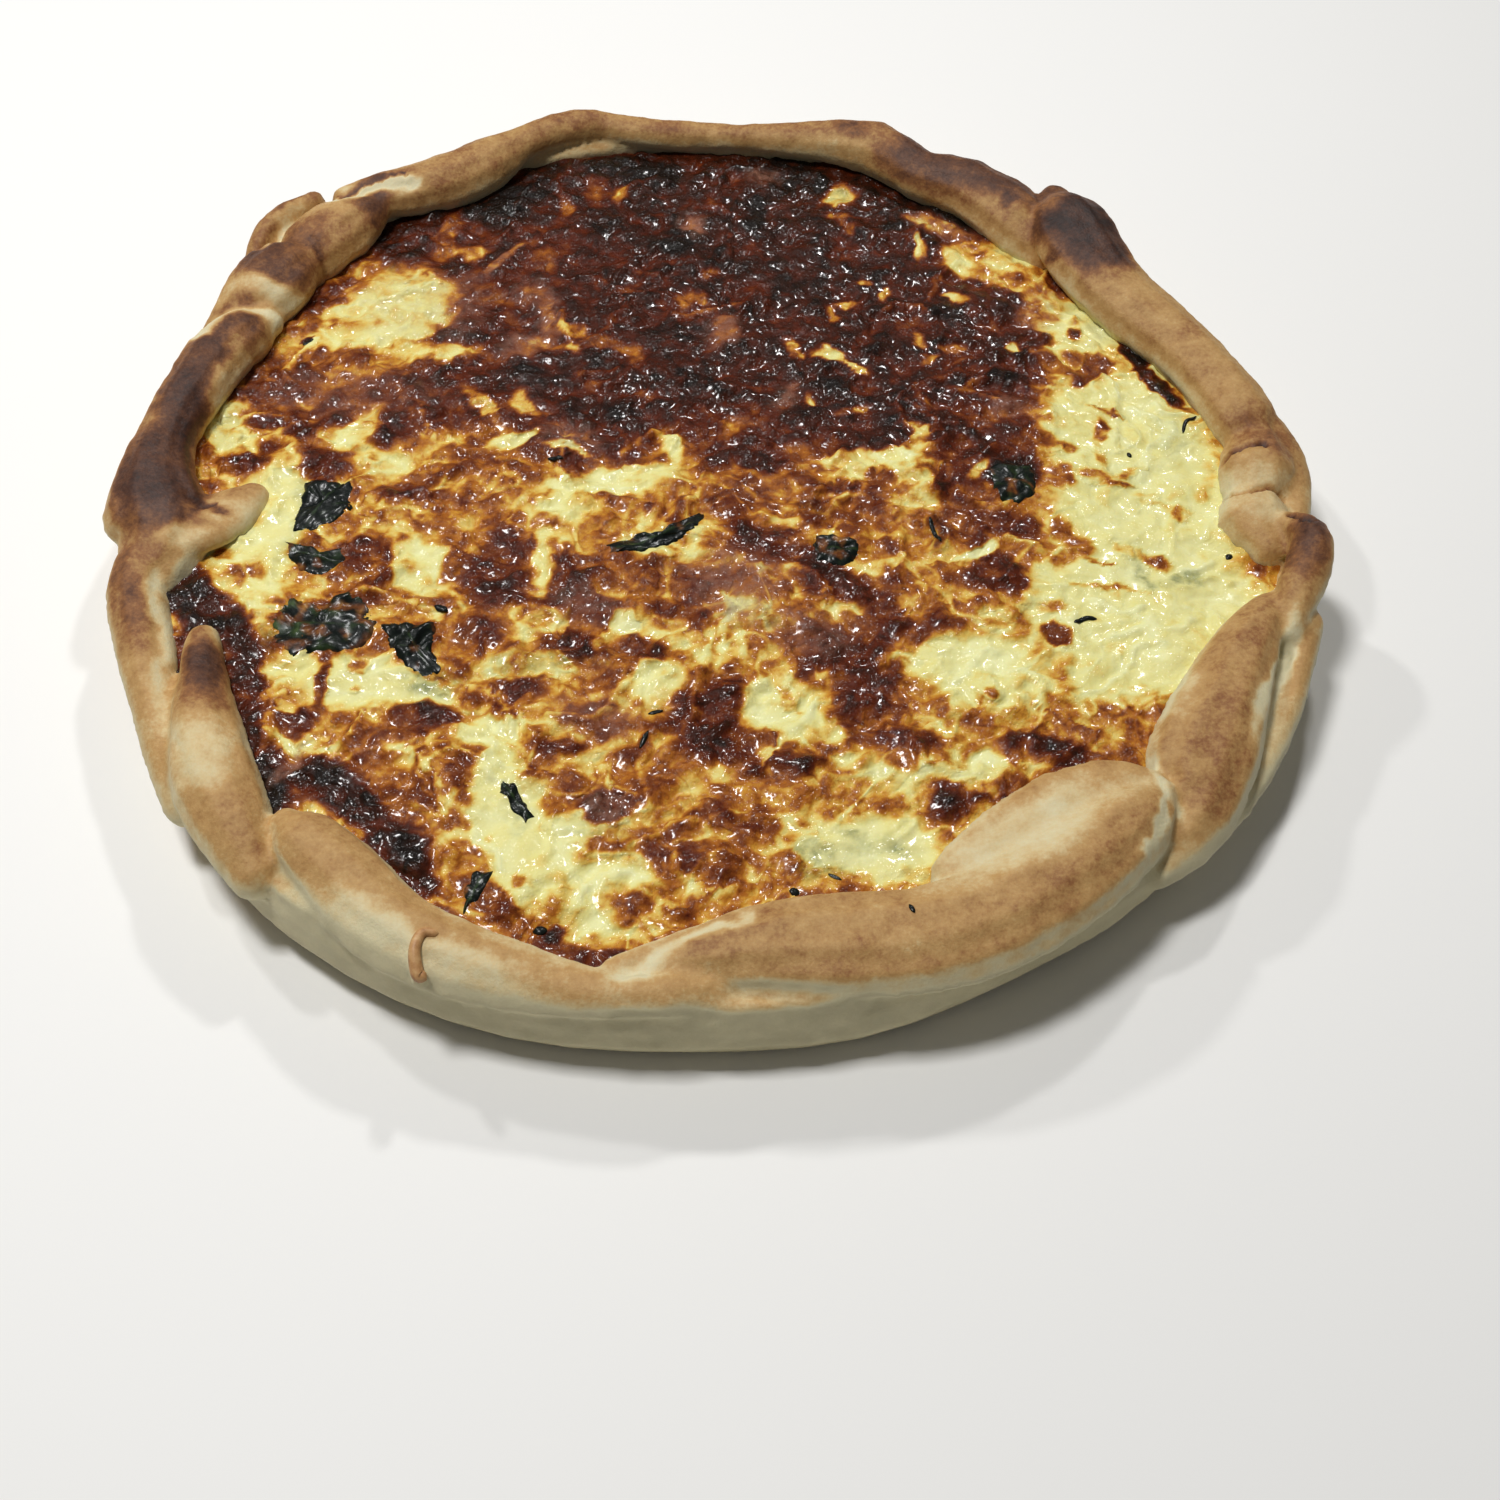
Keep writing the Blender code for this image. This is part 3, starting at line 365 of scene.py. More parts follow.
class QuicheSizes(bpy.types.PropertyGroup):
    crust_step: measure("Crust step", "Side of the smallest face of the crust", 0.9)
    crust_unevenness: measure("Crust unevenness", "Height of the dough's soft dents", 0.45)
    filling_cells: IntProperty(
        name="Filling cells", description="Faces across the filling", default=306, min=40, max=310
    )
    filling_relief: measure("Filling relief", "Height of the melted cheese's blobs", 0.85)
    shred_count: IntProperty(name="Shreds", description="Shreds of cheese melted into the top", default=300)
    shred_width: measure("Shred width", "Width of a shred of grated cheese", 1.9)
    leaf_thickness: measure("Leaf thickness", "Thickness of a wilted leaf", 0.4)


class QuicheColours(bpy.types.PropertyGroup):
    pastry_pale: colour("Pale pastry", "Dough that the heat hardly browned", "d6cba4")
    pastry_gold: colour("Golden pastry", "Crest of a well baked fold", "ab8350")
    pastry_brown: colour("Brown pastry", "Crest close to the grill", "5f3c28")
    pastry_burnt: colour("Burnt pastry", "The darkest folds", "2c1d18")
    egg: colour("Set egg", "Egg and cream that stayed soft", "e6e4a8")
    cheese_gold: colour("Golden cheese", "Cheese as it starts to brown", "c68c30")
    cheese_brown: colour("Browned cheese", "Cheese under the grill", "773b13")
    cheese_charred: colour("Charred cheese", "Cheese that burnt", "150d09")
    herb: colour("Herb", "Wilted herb leaf", "101712")
    floor: colour("Floor", "Plain pale floor", "f2f1ee")


# Gap between the middles of beads of oil and melted butter on the filling, in millimetres
OIL_BEAD_GAP = 1.0


def set_inputs(tree, node, inputs):
    """Sets or links the inputs of a node."""
    for name, value in inputs.items():
        if isinstance(value, bpy.types.NodeSocket):
            tree.links.new(value, node.inputs[name])
        else:
            node.inputs[name].default_value = value


def add_node(tree, kind, inputs=None, output=0, stops=None, **settings):
    """Adds a shader node with its settings, colour stops and inputs, and gives one of its outputs."""
    node = tree.nodes.new(kind)
    for name, value in settings.items():
        setattr(node, name, value)
    if stops:
        ramp = node.color_ramp
        while len(ramp.elements) < len(stops):
            ramp.elements.new(1.0)
        for element, (place, shade) in zip(ramp.elements, stops):
            element.position = place
            element.color = (*shade, 1.0)
    set_inputs(tree, node, inputs or {})
    return node.outputs[output]


def new_material(name):
    """An empty material with its Principled shader and a place on the surface in metres."""
    made = bpy.data.materials.new(name)
    made.use_nodes = True
    tree = made.node_tree
    place = add_node(tree, "ShaderNodeTexCoord", output="Object")
    return made, tree, tree.nodes["Principled BSDF"], place


def uneven(tree, place, level, *layers):
    """The level shifted up and down by noises, each with its size in millimetres and its greatest shift."""
    for size, reach in layers:
        cloud = {"Vector": place, "Scale": 1 / (size * MM), "Detail": 3.0, "Roughness": 0.6}
        shift = {0: add_node(tree, "ShaderNodeTexNoise", cloud), 1: 2 * reach, 2: -reach}
        shift = add_node(tree, "ShaderNodeMath", shift, operation="MULTIPLY_ADD")
        level = add_node(tree, "ShaderNodeMath", {0: level, 1: shift}, operation="ADD")
    return level


def squiggles(tree, place, size, width, distortion):
    """Thin wandering lines, as of melted shreds: 1 along each line and 0 away from it."""
    cloud = {"Vector": place, "Scale": 1 / (size * MM), "Detail": 1.0, "Distortion": distortion}
    cloud = add_node(tree, "ShaderNodeTexNoise", cloud)
    away = add_node(tree, "ShaderNodeMath", {0: cloud, 1: 0.5}, operation="SUBTRACT")
    away = add_node(tree, "ShaderNodeMath", {0: away}, operation="ABSOLUTE")
    return add_node(tree, "ShaderNodeMapRange", {0: away, 1: 0.15 * width, 2: width, 3: 1.0, 4: 0.0})


def baked_pastry(colours):
    """Shortcrust pastry, rolled and baked: matt and finely floury, golden where the heat reached it, with
    painted shade in its dark fold lines and cracks.
    """
    made, tree, shader, place = new_material("baked_shortcrust_pastry")
    baked = add_node(tree, "ShaderNodeAttribute", output="Fac", attribute_name="browning_and_painted_shade")
    change = uneven(tree, place, 0.0, (0.8, 0.13), (1.8, 0.14), (6.0, 0.18))
    unrest = add_node(tree, "ShaderNodeMapRange", {0: baked, 1: 0.1, 2: 0.5, 3: 0.25, 4: 1.0})
    browning_and_painted_shade = {0: change, 1: unrest, 2: baked}
    browning_and_painted_shade = add_node(tree, "ShaderNodeMath", browning_and_painted_shade, operation="MULTIPLY_ADD", use_clamp=True)
    stops = (
        (0.0, linear("c3b994")), (0.13, colours.pastry_pale), (0.24, linear("cfb888")),
        (0.36, linear("bb955f")), (0.47, colours.pastry_gold), (0.6, linear("8a5c36")),
        (0.75, colours.pastry_brown), (0.88, linear("44291d")), (1.0, colours.pastry_burnt),
    )
    shade = add_node(tree, "ShaderNodeValToRGB", {"Fac": browning_and_painted_shade}, stops=stops)
    drip = add_node(tree, "ShaderNodeAttribute", output="Fac", attribute_name="sauce")
    shade = {0: drip, 6: shade, 7: (*linear("4a1410"), 1.0)}
    shade = add_node(tree, "ShaderNodeMix", shade, output=2, data_type="RGBA")
    flour = uneven(tree, place, 0.5, (0.6, 0.3), (1.4, 0.3), (3.5, 0.35))
    bump = add_node(tree, "ShaderNodeBump", {"Height": flour, "Strength": 0.5, "Distance": 0.35 * MM})
    gloss = add_node(tree, "ShaderNodeAttribute", output="Fac", attribute_name="gloss")
    matt = add_node(tree, "ShaderNodeMapRange", {0: gloss, 1: 0.0, 2: 1.0, 3: 0.6, 4: 0.25})
    set_inputs(tree, shader, {
        "Base Color": shade, "Normal": bump, "Roughness": matt, "IOR": 1.45, "Specular IOR Level": 0.3,
        "Subsurface Weight": 0.08, "Subsurface Radius": (1.0, 0.6, 0.3), "Subsurface Scale": 2 * MM,
    })
    return made


def browned_cheese(colours):
    """Egg custard under grated cheese, baked and grilled: oily and glistening, yellow to charred."""
    made, tree, shader, place = new_material("grilled_cheese_on_set_egg")
    baking = add_node(tree, "ShaderNodeAttribute", output="Fac", attribute_name="baking")
    milky = squiggles(tree, place, 14.0, 0.07, 0.8)
    toasted = squiggles(tree, place, 9.0, 0.1, 1.2)
    change = uneven(tree, place, 0.0, (1.2, 0.09), (3.0, 0.17), (7.0, 0.2))
    change = add_node(tree, "ShaderNodeMath", {0: toasted, 1: 0.07, 2: change}, operation="MULTIPLY_ADD")
    drawn = add_node(tree, "ShaderNodeMapRange", {0: baking, 1: 0.4, 2: 0.7, 3: -0.17, 4: -0.05})
    change = add_node(tree, "ShaderNodeMath", {0: milky, 1: drawn, 2: change}, operation="MULTIPLY_ADD")
    unrest = add_node(tree, "ShaderNodeMapRange", {0: baking, 1: 0.1, 2: 0.4, 3: 0.3, 4: 1.0})
    level = {0: change, 1: unrest, 2: baking}
    level = add_node(tree, "ShaderNodeMath", level, operation="MULTIPLY_ADD", use_clamp=True)
    stops = (
        (0.0, colours.egg), (0.17, linear("e2d98c")), (0.29, linear("dcba5c")),
        (0.38, colours.cheese_gold), (0.47, linear("a4601e")), (0.57, colours.cheese_brown),
        (0.69, linear("561f0a")), (0.8, linear("3c1608")), (0.92, linear("241008")),
        (1.0, colours.cheese_charred),
    )
    shade = add_node(tree, "ShaderNodeValToRGB", {"Fac": level}, stops=stops)
    cloud = uneven(tree, place, 0.5, (2.5, 1.2))
    for name, hex_colour, blend in (("stain", "66786c", "MULTIPLY"), ("pink", "926653", "MIX")):
        tinted = add_node(tree, "ShaderNodeAttribute", output="Fac", attribute_name=name)
        tinted = add_node(tree, "ShaderNodeMath", {0: tinted, 1: cloud}, operation="MULTIPLY", use_clamp=True)
        shade = {0: tinted, 6: shade, 7: (*linear(hex_colour), 1.0)}
        shade = add_node(tree, "ShaderNodeMix", shade, output=2, data_type="RGBA", blend_type=blend)
    relief = uneven(tree, place, 0.5, (0.6, 0.14), (1.4, 0.28), (3.4, 0.22))
    for lines, rise in ((toasted, 0.2), (milky, 0.25)):
        relief = add_node(tree, "ShaderNodeMath", {0: lines, 1: rise, 2: relief}, operation="MULTIPLY_ADD")
    relief = add_node(tree, "ShaderNodeMath", {0: relief, 1: unrest}, operation="MULTIPLY")
    bump = add_node(tree, "ShaderNodeBump", {"Height": relief, "Strength": 0.8, "Distance": 0.9 * MM})
    bead = {"Vector": place, "Scale": 1 / (OIL_BEAD_GAP * MM)}
    bead = add_node(tree, "ShaderNodeTexVoronoi", bead, output="Distance")
    bead = {0: bead, 1: 0.0, 2: 0.5, 3: 1.0, 4: 0.0}
    bead = add_node(tree, "ShaderNodeMapRange", bead, interpolation_type="SMOOTHSTEP")
    film = add_node(tree, "ShaderNodeBump", {"Height": bead, "Strength": 1.0, "Distance": 0.2 * MM})
    set_inputs(tree, shader, {
        "Base Color": shade, "Normal": bump, "Roughness": uneven(tree, place, 0.3, (2.2, 0.12)), "IOR": 1.45,
        "Specular IOR Level": 0.08, "Coat Normal": film, "Coat Weight": 0.5, "Coat Roughness": 0.14,
        "Subsurface Weight": 0.08, "Subsurface Radius": (1.0, 0.7, 0.3), "Subsurface Scale": 1.5 * MM,
    })
    return made


def wilted_herb(colours):
    """Rocket or spinach leaf wilted in the oven: nearly black, greener at veins and where it stayed fresh."""
    made, tree, shader, place = new_material("wilted_herb_leaf")
    vein = add_node(tree, "ShaderNodeAttribute", output="Fac", attribute_name="vein")
    tone = add_node(tree, "ShaderNodeMath", {0: vein, 1: 0.4, 2: 0.25}, operation="MULTIPLY_ADD")
    tone = uneven(tree, place, tone, (3.0, 0.5))
    stops = ((0.0, linear("05080a")), (0.4, colours.herb), (0.7, linear("26351d")), (1.0, linear("55683a")))
    shade = add_node(tree, "ShaderNodeValToRGB", {"Fac": tone}, stops=stops)
    stops = ((0.35, linear("331c12")), (0.55, linear("6b3d1d")), (0.72, linear("9a6c34")))
    coat = add_node(tree, "ShaderNodeValToRGB", {"Fac": uneven(tree, place, 0.5, (2.5, 0.5))}, stops=stops)
    cover = add_node(tree, "ShaderNodeAttribute", output="Fac", attribute_name="covered")
    shade = add_node(tree, "ShaderNodeMix", {0: cover, 6: shade, 7: coat}, output=2, data_type="RGBA")
    wrinkle = uneven(tree, place, 0.5, (1.0, 0.5))
    bump = add_node(tree, "ShaderNodeBump", {"Height": wrinkle, "Strength": 0.6, "Distance": 0.4 * MM})
    set_inputs(tree, shader, {
        "Base Color": shade, "Normal": bump, "Roughness": 0.35, "IOR": 1.42, "Specular IOR Level": 0.12,
        "Coat Weight": 0.3, "Coat Roughness": 0.2,
    })
    return made


def melted_shred():
    """A shred of cheese melted and set on the rim: waxy, in uneven shades of light brown."""
    made, tree, shader, place = new_material("melted_cheese_shred")
    stops = ((0.25, linear("8a5a34")), (0.5, linear("b98a58")), (0.75, linear("d0ac78")))
    shade = add_node(tree, "ShaderNodeValToRGB", {"Fac": uneven(tree, place, 0.5, (2.0, 0.5))}, stops=stops)
    set_inputs(tree, shader, {"Base Color": shade, "Roughness": 0.5, "IOR": 1.45})
    return made


def studio_floor(colours):
    """Painted board for a plain backdrop: pale and matt, so that only the soft shadow shows on it."""
    made, tree, shader, place = new_material("painted_floor_board")
    cloud = uneven(tree, place, 0.06, (300.0, 0.06))
    shade = {0: cloud, 6: (*colours.floor, 1.0), 7: (*linear("e6e4df"), 1.0)}
    shade = add_node(tree, "ShaderNodeMix", shade, output=2, data_type="RGBA")
    set_inputs(tree, shader, {"Base Color": shade, "Roughness": 0.75})
    return made


HASH_FACTOR = np.uint64(0x9E3779B97F4A7C15)
HASH_SHIFT = np.uint64(29)
HASH_TOP = np.uint64(40)
NOISE_GAIN = 1.7


def hashed(cells, seed):
    """A repeatable share from 0 to 1 for each row of whole numbers."""
    mixed = np.full(len(cells), seed, np.uint64)
    for column in cells.T:
        mixed = (mixed + column.astype(np.uint64)) * HASH_FACTOR
        mixed ^= mixed >> HASH_SHIFT
    return (mixed >> HASH_TOP).astype(float) / 2**24


def noise(places, size, seed):
    """Smooth noise from about -1 to 1 at each place, with waves about size long."""
    scaled = np.asarray(places, float) / size
    cell = np.floor(scaled).astype(np.int64)
    share = scaled - cell
    fade = share**3 * (share * (share * 6 - 15) + 10)
    total = np.zeros(len(scaled))
    for corner in itertools.product((0, 1), repeat=scaled.shape[1]):
        corner = np.array(corner)
        slopes = [hashed(cell + corner, seed + 101 * axis) for axis in range(len(corner))]
        weight = np.prod(np.where(corner == 1, fade, 1 - fade), axis=1)
        total += weight * np.sum((np.stack(slopes, 1) * 2 - 1) * (share - corner), axis=1)
    return np.clip(total * NOISE_GAIN, -1, 1)


def layered(places, size, layers, seed):
    """Noise with finer and weaker layers over it."""
    return sum(noise(places, size / 2**k, seed + 7 * k) / 2**k for k in range(layers))


def smooth(low, high, values):
    """0 below low and 1 above high, with a soft step between."""
    share = np.clip((values - low) / (high - low), 0, 1)
    return share * share * (3 - 2 * share)


# How far and over what length the painted patches are pushed about, coarse to fine, in millimetres
WARPS = ((4.0, 15.0), (2.4, 5.0), (1.3, 2.2))


def warped(places, seed):
    """Places moved a little this way and that, so that painted edges run unevenly."""
    moved = np.array(places, float)
    for reach, size in WARPS:
        for axis in (0, 1):
            moved[:, axis] += reach * noise(places, size, seed + axis) * 0.5
        seed += 2
    return moved


def painted(places, level, patches, softness=0.35):
    """The level at each place after the patches are laid over it in turn."""
    result = np.full(len(places), float(level))
    for x, y, half_length, half_width, turn, value in patches:
        cos, sin = math.cos(math.radians(turn)), math.sin(math.radians(turn))
        dx, dy = places[:, 0] - x, places[:, 1] - y
        along, across = (dx * cos + dy * sin) / half_length, (dy * cos - dx * sin) / half_width
        cover = 1 - smooth(1 - softness, 1 + softness, np.hypot(along, across))
        result += (value - result) * cover
    return result


def distance_to_line(places, line):
    """Distance from each place to a line of straight pieces."""
    nearest = np.full(len(places), np.inf)
    for start, end in zip(line, line[1:]):
        start, step = np.array(start, float), np.subtract(end, start)
        share = np.clip((places - start) @ step / (step @ step), 0, 1)
        nearest = np.minimum(nearest, np.linalg.norm(places - start - share[:, None] * step, axis=1))
    return nearest


SHRED_LENGTH = (7.0, 20.0)
SHRED_STEPS = 5
SHRED_BEND = 0.45
SHRED_SEED = 5


def melted_shreds(places, count, half_width):
    """Where shreds of cheese lie in the top: their rise from 0 to 1, and their own shade from -1 to 1."""
    draw = random.Random(SHRED_SEED)
    rise, shade = np.zeros(len(places)), np.zeros(len(places))
    for _ in range(count):
        radius, angle = FILLING_RADIUS * math.sqrt(draw.random()), math.tau * draw.random()
        point = np.array([radius * math.cos(angle), radius * math.sin(angle)])
        heading, bend = math.tau * draw.random(), draw.uniform(-SHRED_BEND, SHRED_BEND)
        step = draw.uniform(*SHRED_LENGTH) / SHRED_STEPS
        own_width, own_shade = half_width * draw.uniform(0.7, 1.3), draw.uniform(-1, 1)
        line = [point]
        for _ in range(SHRED_STEPS):
            line.append(line[-1] + step * np.array([math.cos(heading), math.sin(heading)]))
            heading += bend
        line = np.array(line)
        near = np.all((places > line.min(0) - own_width) & (places < line.max(0) + own_width), axis=1)
        if near.any():
            distance = distance_to_line(places[near], line) / own_width
            own_rise = np.sqrt(np.clip(1 - distance**2, 0, 1))
            higher = own_rise > rise[near]
            rise[near] = np.where(higher, own_rise, rise[near])
            shade[near] = np.where(higher, own_shade, shade[near])
    return rise, shade


def blisters():
    """The solid's cheese blisters, by the same seeded draw."""
    draw = random.Random(BLISTER_SEED)
    found = []
    for _ in range(BLISTER_COUNT):
        radius = FILLING_RADIUS * math.sqrt(draw.random())
        angle = math.tau * draw.random()
        reach, height = draw.uniform(*BLISTER_REACH), draw.uniform(*BLISTER_HEIGHT)
        found.append((radius * math.cos(angle), radius * math.sin(angle), reach, height))
    return found


def filling_height(places):
    """Height of the filling's top in millimetres, without its fine relief."""
    x, y = places[:, 0], places[:, 1]
    long_way, cross_way = FILLING_WAVE_LENGTHS
    height = FILLING_EDGE_HEIGHT + FILLING_DOME * (1 - (x**2 + y**2) / FILLING_RADIUS**2)
    height += FILLING_WAVE * np.sin(x / long_way) * np.cos(y / cross_way)
    for bx, by, reach, rise in (*LUMPS, *blisters()):
        height += rise * np.exp(-((x - bx) ** 2 + (y - by) ** 2) / reach**2)
    return height


def points_of(mesh):
    """A mesh's points in millimetres, one row each."""
    flat = np.empty(len(mesh.vertices) * 3, np.float32)
    mesh.vertices.foreach_get("co", flat)
    return flat.reshape(-1, 3).astype(float) / MM


def set_points(mesh, points):
    mesh.vertices.foreach_set("co", (points * MM).astype(np.float32).ravel())
    mesh.update()


def normals_of(mesh):
    flat = np.empty(len(mesh.vertices) * 3, np.float32)
    mesh.vertex_normals.foreach_get("vector", flat)
    return flat.reshape(-1, 3).astype(float)


def keep_attribute(mesh, name, values):
    """Stores one number for each point, for the material to read."""
    layer = mesh.attributes.new(name, "FLOAT", "POINT")
    layer.data.foreach_set("value", np.clip(values, 0, 1).astype(np.float32))


def read_attribute(mesh, name):
    values = np.empty(len(mesh.vertices), np.float32)
    mesh.attributes[name].data.foreach_get("value", values)
    return values.astype(float)


def add_object(name, mesh, finish=None):
    made = bpy.data.objects.new(name, mesh)
    bpy.context.scene.collection.objects.link(made)
    if finish:
        mesh.materials.clear()
        mesh.materials.append(finish)
    return made


def mesh_from(name, points, faces):
    """A smooth mesh from points in millimetres."""
    mesh = bpy.data.meshes.new(name)
    mesh.from_pydata([tuple(p) for p in np.asarray(points) * MM], [], [tuple(f) for f in faces])
    if mesh.validate():
        raise RuntimeError(f"the mesh of {name} has faulty faces")
    mesh.shade_smooth()
    return mesh


def evaluated_mesh(thing):
    """The mesh with its modifiers applied."""
    graph = bpy.context.evaluated_depsgraph_get()
    return bpy.data.meshes.new_from_object(thing.evaluated_get(graph))


def put_in_place(piece, slot, *nodes):
    """The piece rides with the quiche and stands for the nodes, whose solids it hides. The slot is not used.
    """
    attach(piece, "root")
    if nodes:
        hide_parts(*nodes)


def foot_ring():
    """Angles and radii of the ring where the crust's wall meets the floor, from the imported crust."""
    points = points_of(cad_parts["crust"].data)
    radius = np.hypot(points[:, 0], points[:, 1])
    foot = points[(points[:, 2] < FOOT_RING_HEIGHT) & (radius > FOOT_RING_LEAST_RADIUS)]
    angle, radius = np.arctan2(foot[:, 1], foot[:, 0]), np.hypot(foot[:, 0], foot[:, 1])
    order = np.argsort(angle)
    return angle[order], radius[order]


# The hidden floor under the filling is cut out before the crust is made finely, and a plain disc closes it
FLOOR_CUT_RADIUS = 116.0
FLOOR_CUT_TOP = 12.0
FLOOR_DISC_RADIUS = 119.0
FLOOR_DISC_HEIGHT = 4.0
FLOOR_DISC_SIDES = 96
CRUST_SMOOTHING = 8
FOLD_ROUNDS = 22
FOLD_SHARPENING = 0.9
CRACK_WIDTH = 0.9
CRACK_DEPTH = 1.8


def disc_object(name, radius, bottom, top, sides):
    """A low closed cylinder, in millimetres."""
    mesh = bmesh.new()
    bmesh.ops.create_cone(
        mesh, cap_ends=True, segments=sides, radius1=radius * MM, radius2=radius * MM,
        depth=(top - bottom) * MM, matrix=Matrix.Translation((0, 0, (top + bottom) / 2 * MM)),
    )
    data = bpy.data.meshes.new(name)
    mesh.to_mesh(data)
    mesh.free()
    return add_object(name, data)


def fine_crust(step):
    """The crust's form from its solid: rounded, with its creases kept, and cut up finely."""
    mesh = bmesh.new()
    mesh.from_mesh(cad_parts["crust"].data)
    bmesh.ops.remove_doubles(mesh, verts=mesh.verts, dist=0.01 * MM)
    data = bpy.data.meshes.new("crust_form")
    mesh.to_mesh(data)
    mesh.free()
    form = add_object("crust_form", data)
    cutter = disc_object("floor_cutter", FLOOR_CUT_RADIUS, -2, FLOOR_CUT_TOP, FLOOR_DISC_SIDES)
    cut = form.modifiers.new("Cut", "BOOLEAN")
    cut.operation, cut.solver, cut.object = "DIFFERENCE", "MANIFOLD", cutter
    form.data = evaluated_mesh(form)
    form.modifiers.clear()
    bpy.data.objects.remove(cutter)
    remesh = form.modifiers.new("Fine", "REMESH")
    remesh.mode, remesh.voxel_size = "VOXEL", step
    soften = form.modifiers.new("Soften", "SMOOTH")
    soften.factor, soften.iterations = 0.5, CRUST_SMOOTHING
    fine = evaluated_mesh(form)
    bpy.data.objects.remove(form)
    return fine


def pooled(mesh, points, rounds):
    """Each point's place averaged with its neighbours' for a number of rounds."""
    edges = np.empty(len(mesh.edges) * 2, np.int32)
    mesh.edges.foreach_get("vertices", edges)
    one, other = edges.reshape(-1, 2).T
    count = np.bincount(one, minlength=len(points)) + np.bincount(other, minlength=len(points))
    spread_out = points.copy()
    for _ in range(rounds):
        total = np.zeros_like(points)
        for axis in range(3):
            total[:, axis] += np.bincount(one, spread_out[other, axis], len(points))
            total[:, axis] += np.bincount(other, spread_out[one, axis], len(points))
        spread_out = total / count[:, None]
    return spread_out


class QUICHE_OT_crust(bpy.types.Operator):
    """Makes the folded crust, with the soft dents, cracks and browning of hand-made pastry, and painted shade
    in its dark fold lines and cracks
    """

    bl_idname = "quiche.crust"
    bl_label = "Crust"

    def execute(self, context):
        sizes, colours = context.scene.quiche_sizes, context.scene.quiche_colours
        mesh = fine_crust(sizes.crust_step)
        points, normals = points_of(mesh), normals_of(mesh)
        hollow = np.sum((pooled(mesh, points, FOLD_ROUNDS) - points) * normals, axis=1)
        dents = noise(points, 13.0, 21) + 0.35 * noise(points, 4.0, 22) + 0.18 * noise(points, 1.8, 23)
        crack = np.zeros(len(points))
        for line in CRACKS:
            distance = distance_to_line(points[:, :2] + 0.8 * noise(points, 2.5, 24)[:, None], line)
            crack = np.maximum(crack, 1 - smooth(0.2, 1.0, distance / CRACK_WIDTH))
        crack *= normals[:, 2] > 0
        press = np.zeros(len(points))
        for line, half_width, depth, _ in FOLD_LINES:
            distance = distance_to_line(points[:, :2], line)
            press = np.maximum(press, depth * np.exp(-((distance / half_width) ** 2)))
        rim = smooth(2.0, 8.0, points[:, 2])
        out = sizes.crust_unevenness / MM * dents - CRACK_DEPTH * crack - FOLD_SHARPENING * hollow - press
        points += normals * (out * rim)[:, None]
        points[:, 2] = np.maximum(points[:, 2], 0.0)
        set_points(mesh, points)
        keep_attribute(mesh, "valley", smooth(0.25, 1.0, hollow))
        keep_attribute(mesh, "ridge", smooth(0.3, 1.4, -hollow))
        keep_attribute(mesh, "crack", crack)
        self.add_floor(mesh)
        self.paint(mesh)
        mesh.shade_smooth()
        crust = add_object("crust_baked", mesh, baked_pastry(colours))
        put_in_place(crust, "pastry", "crust")
        return {"FINISHED"}

    def add_floor(self, mesh):
        """Closes the bottom with a plain disc, which the filling hides from above."""
        disc = disc_object("floor_disc", FLOOR_DISC_RADIUS, 0, FLOOR_DISC_HEIGHT, FLOOR_DISC_SIDES)
        joined = bmesh.new()
        joined.from_mesh(mesh)
        joined.from_mesh(disc.data)
        joined.to_mesh(mesh)
        joined.free()
        bpy.data.objects.remove(disc)

    def paint(self, mesh):
        """Browning, painted shade in the dark fold lines and cracks, gloss and the drip of sauce, from the
        place and slope of each point.
        """
        points, normals = points_of(mesh), normals_of(mesh)
        radius = np.hypot(points[:, 0], points[:, 1]) + 1e-6
        facing_out = (normals[:, 0] * points[:, 0] + normals[:, 1] * points[:, 1]) / radius
        crest = painted(warped(points[:, :2], 31), CREST_BROWNING_BETWEEN, CREST_BROWNING, 0.54)
        # Fold lines with dark values are painted shade in their creases; the pale ones are dough the heat
        # missed
        for line, half_width, _, level in FOLD_LINES:
            distance = distance_to_line(warped(points[:, :2], 37), line)
            crest += (level - crest) * (1 - smooth(0.3, 1.8, distance / half_width))
        back = smooth(-60, 90, points[:, 1])
        left = smooth(-60, -118, points[:, 0])
        wall = CRUST_WALL_BROWNING + 0.2 * back + 0.16 * left + 0.07 * layered(points, 18.0, 3, 32)
        foot = 1 - smooth(0.5, 5.0, points[:, 2])
        wall += 0.35 * foot * np.maximum(left, back)
        high = smooth(11.0, 25.0, points[:, 2]) * smooth(-0.5, 0.8, normals[:, 2] - 0.45 * facing_out)
        browning_and_painted_shade = wall + (crest - wall) * high
        rim_only = smooth(12.0, 18.0, points[:, 2])
        inner = smooth(0.2, 0.8, -facing_out) * (1 - smooth(22.0, 25.0, points[:, 2]))
        browning_and_painted_shade -= inner * 0.14
        browning_and_painted_shade += 0.06 * layered(points, 9.0, 3, 33)
        ridge, valley = read_attribute(mesh, "ridge"), read_attribute(mesh, "valley")
        browning_and_painted_shade += 0.08 * ridge * high - 0.22 * valley * rim_only
        # The cracks are painted darker: painted shade in the crack
        browning_and_painted_shade += 0.45 * read_attribute(mesh, "crack")
        keep_attribute(mesh, "browning_and_painted_shade", browning_and_painted_shade)
        keep_attribute(mesh, "gloss", 0.35 * smooth(0.55, 0.9, browning_and_painted_shade) * high)
        drip = painted(warped(points[:, :2], 35), 0.0, SAUCE_DRIP)
        keep_attribute(mesh, "sauce", drip * (1 - smooth(3.0, 6.0, points[:, 2])))


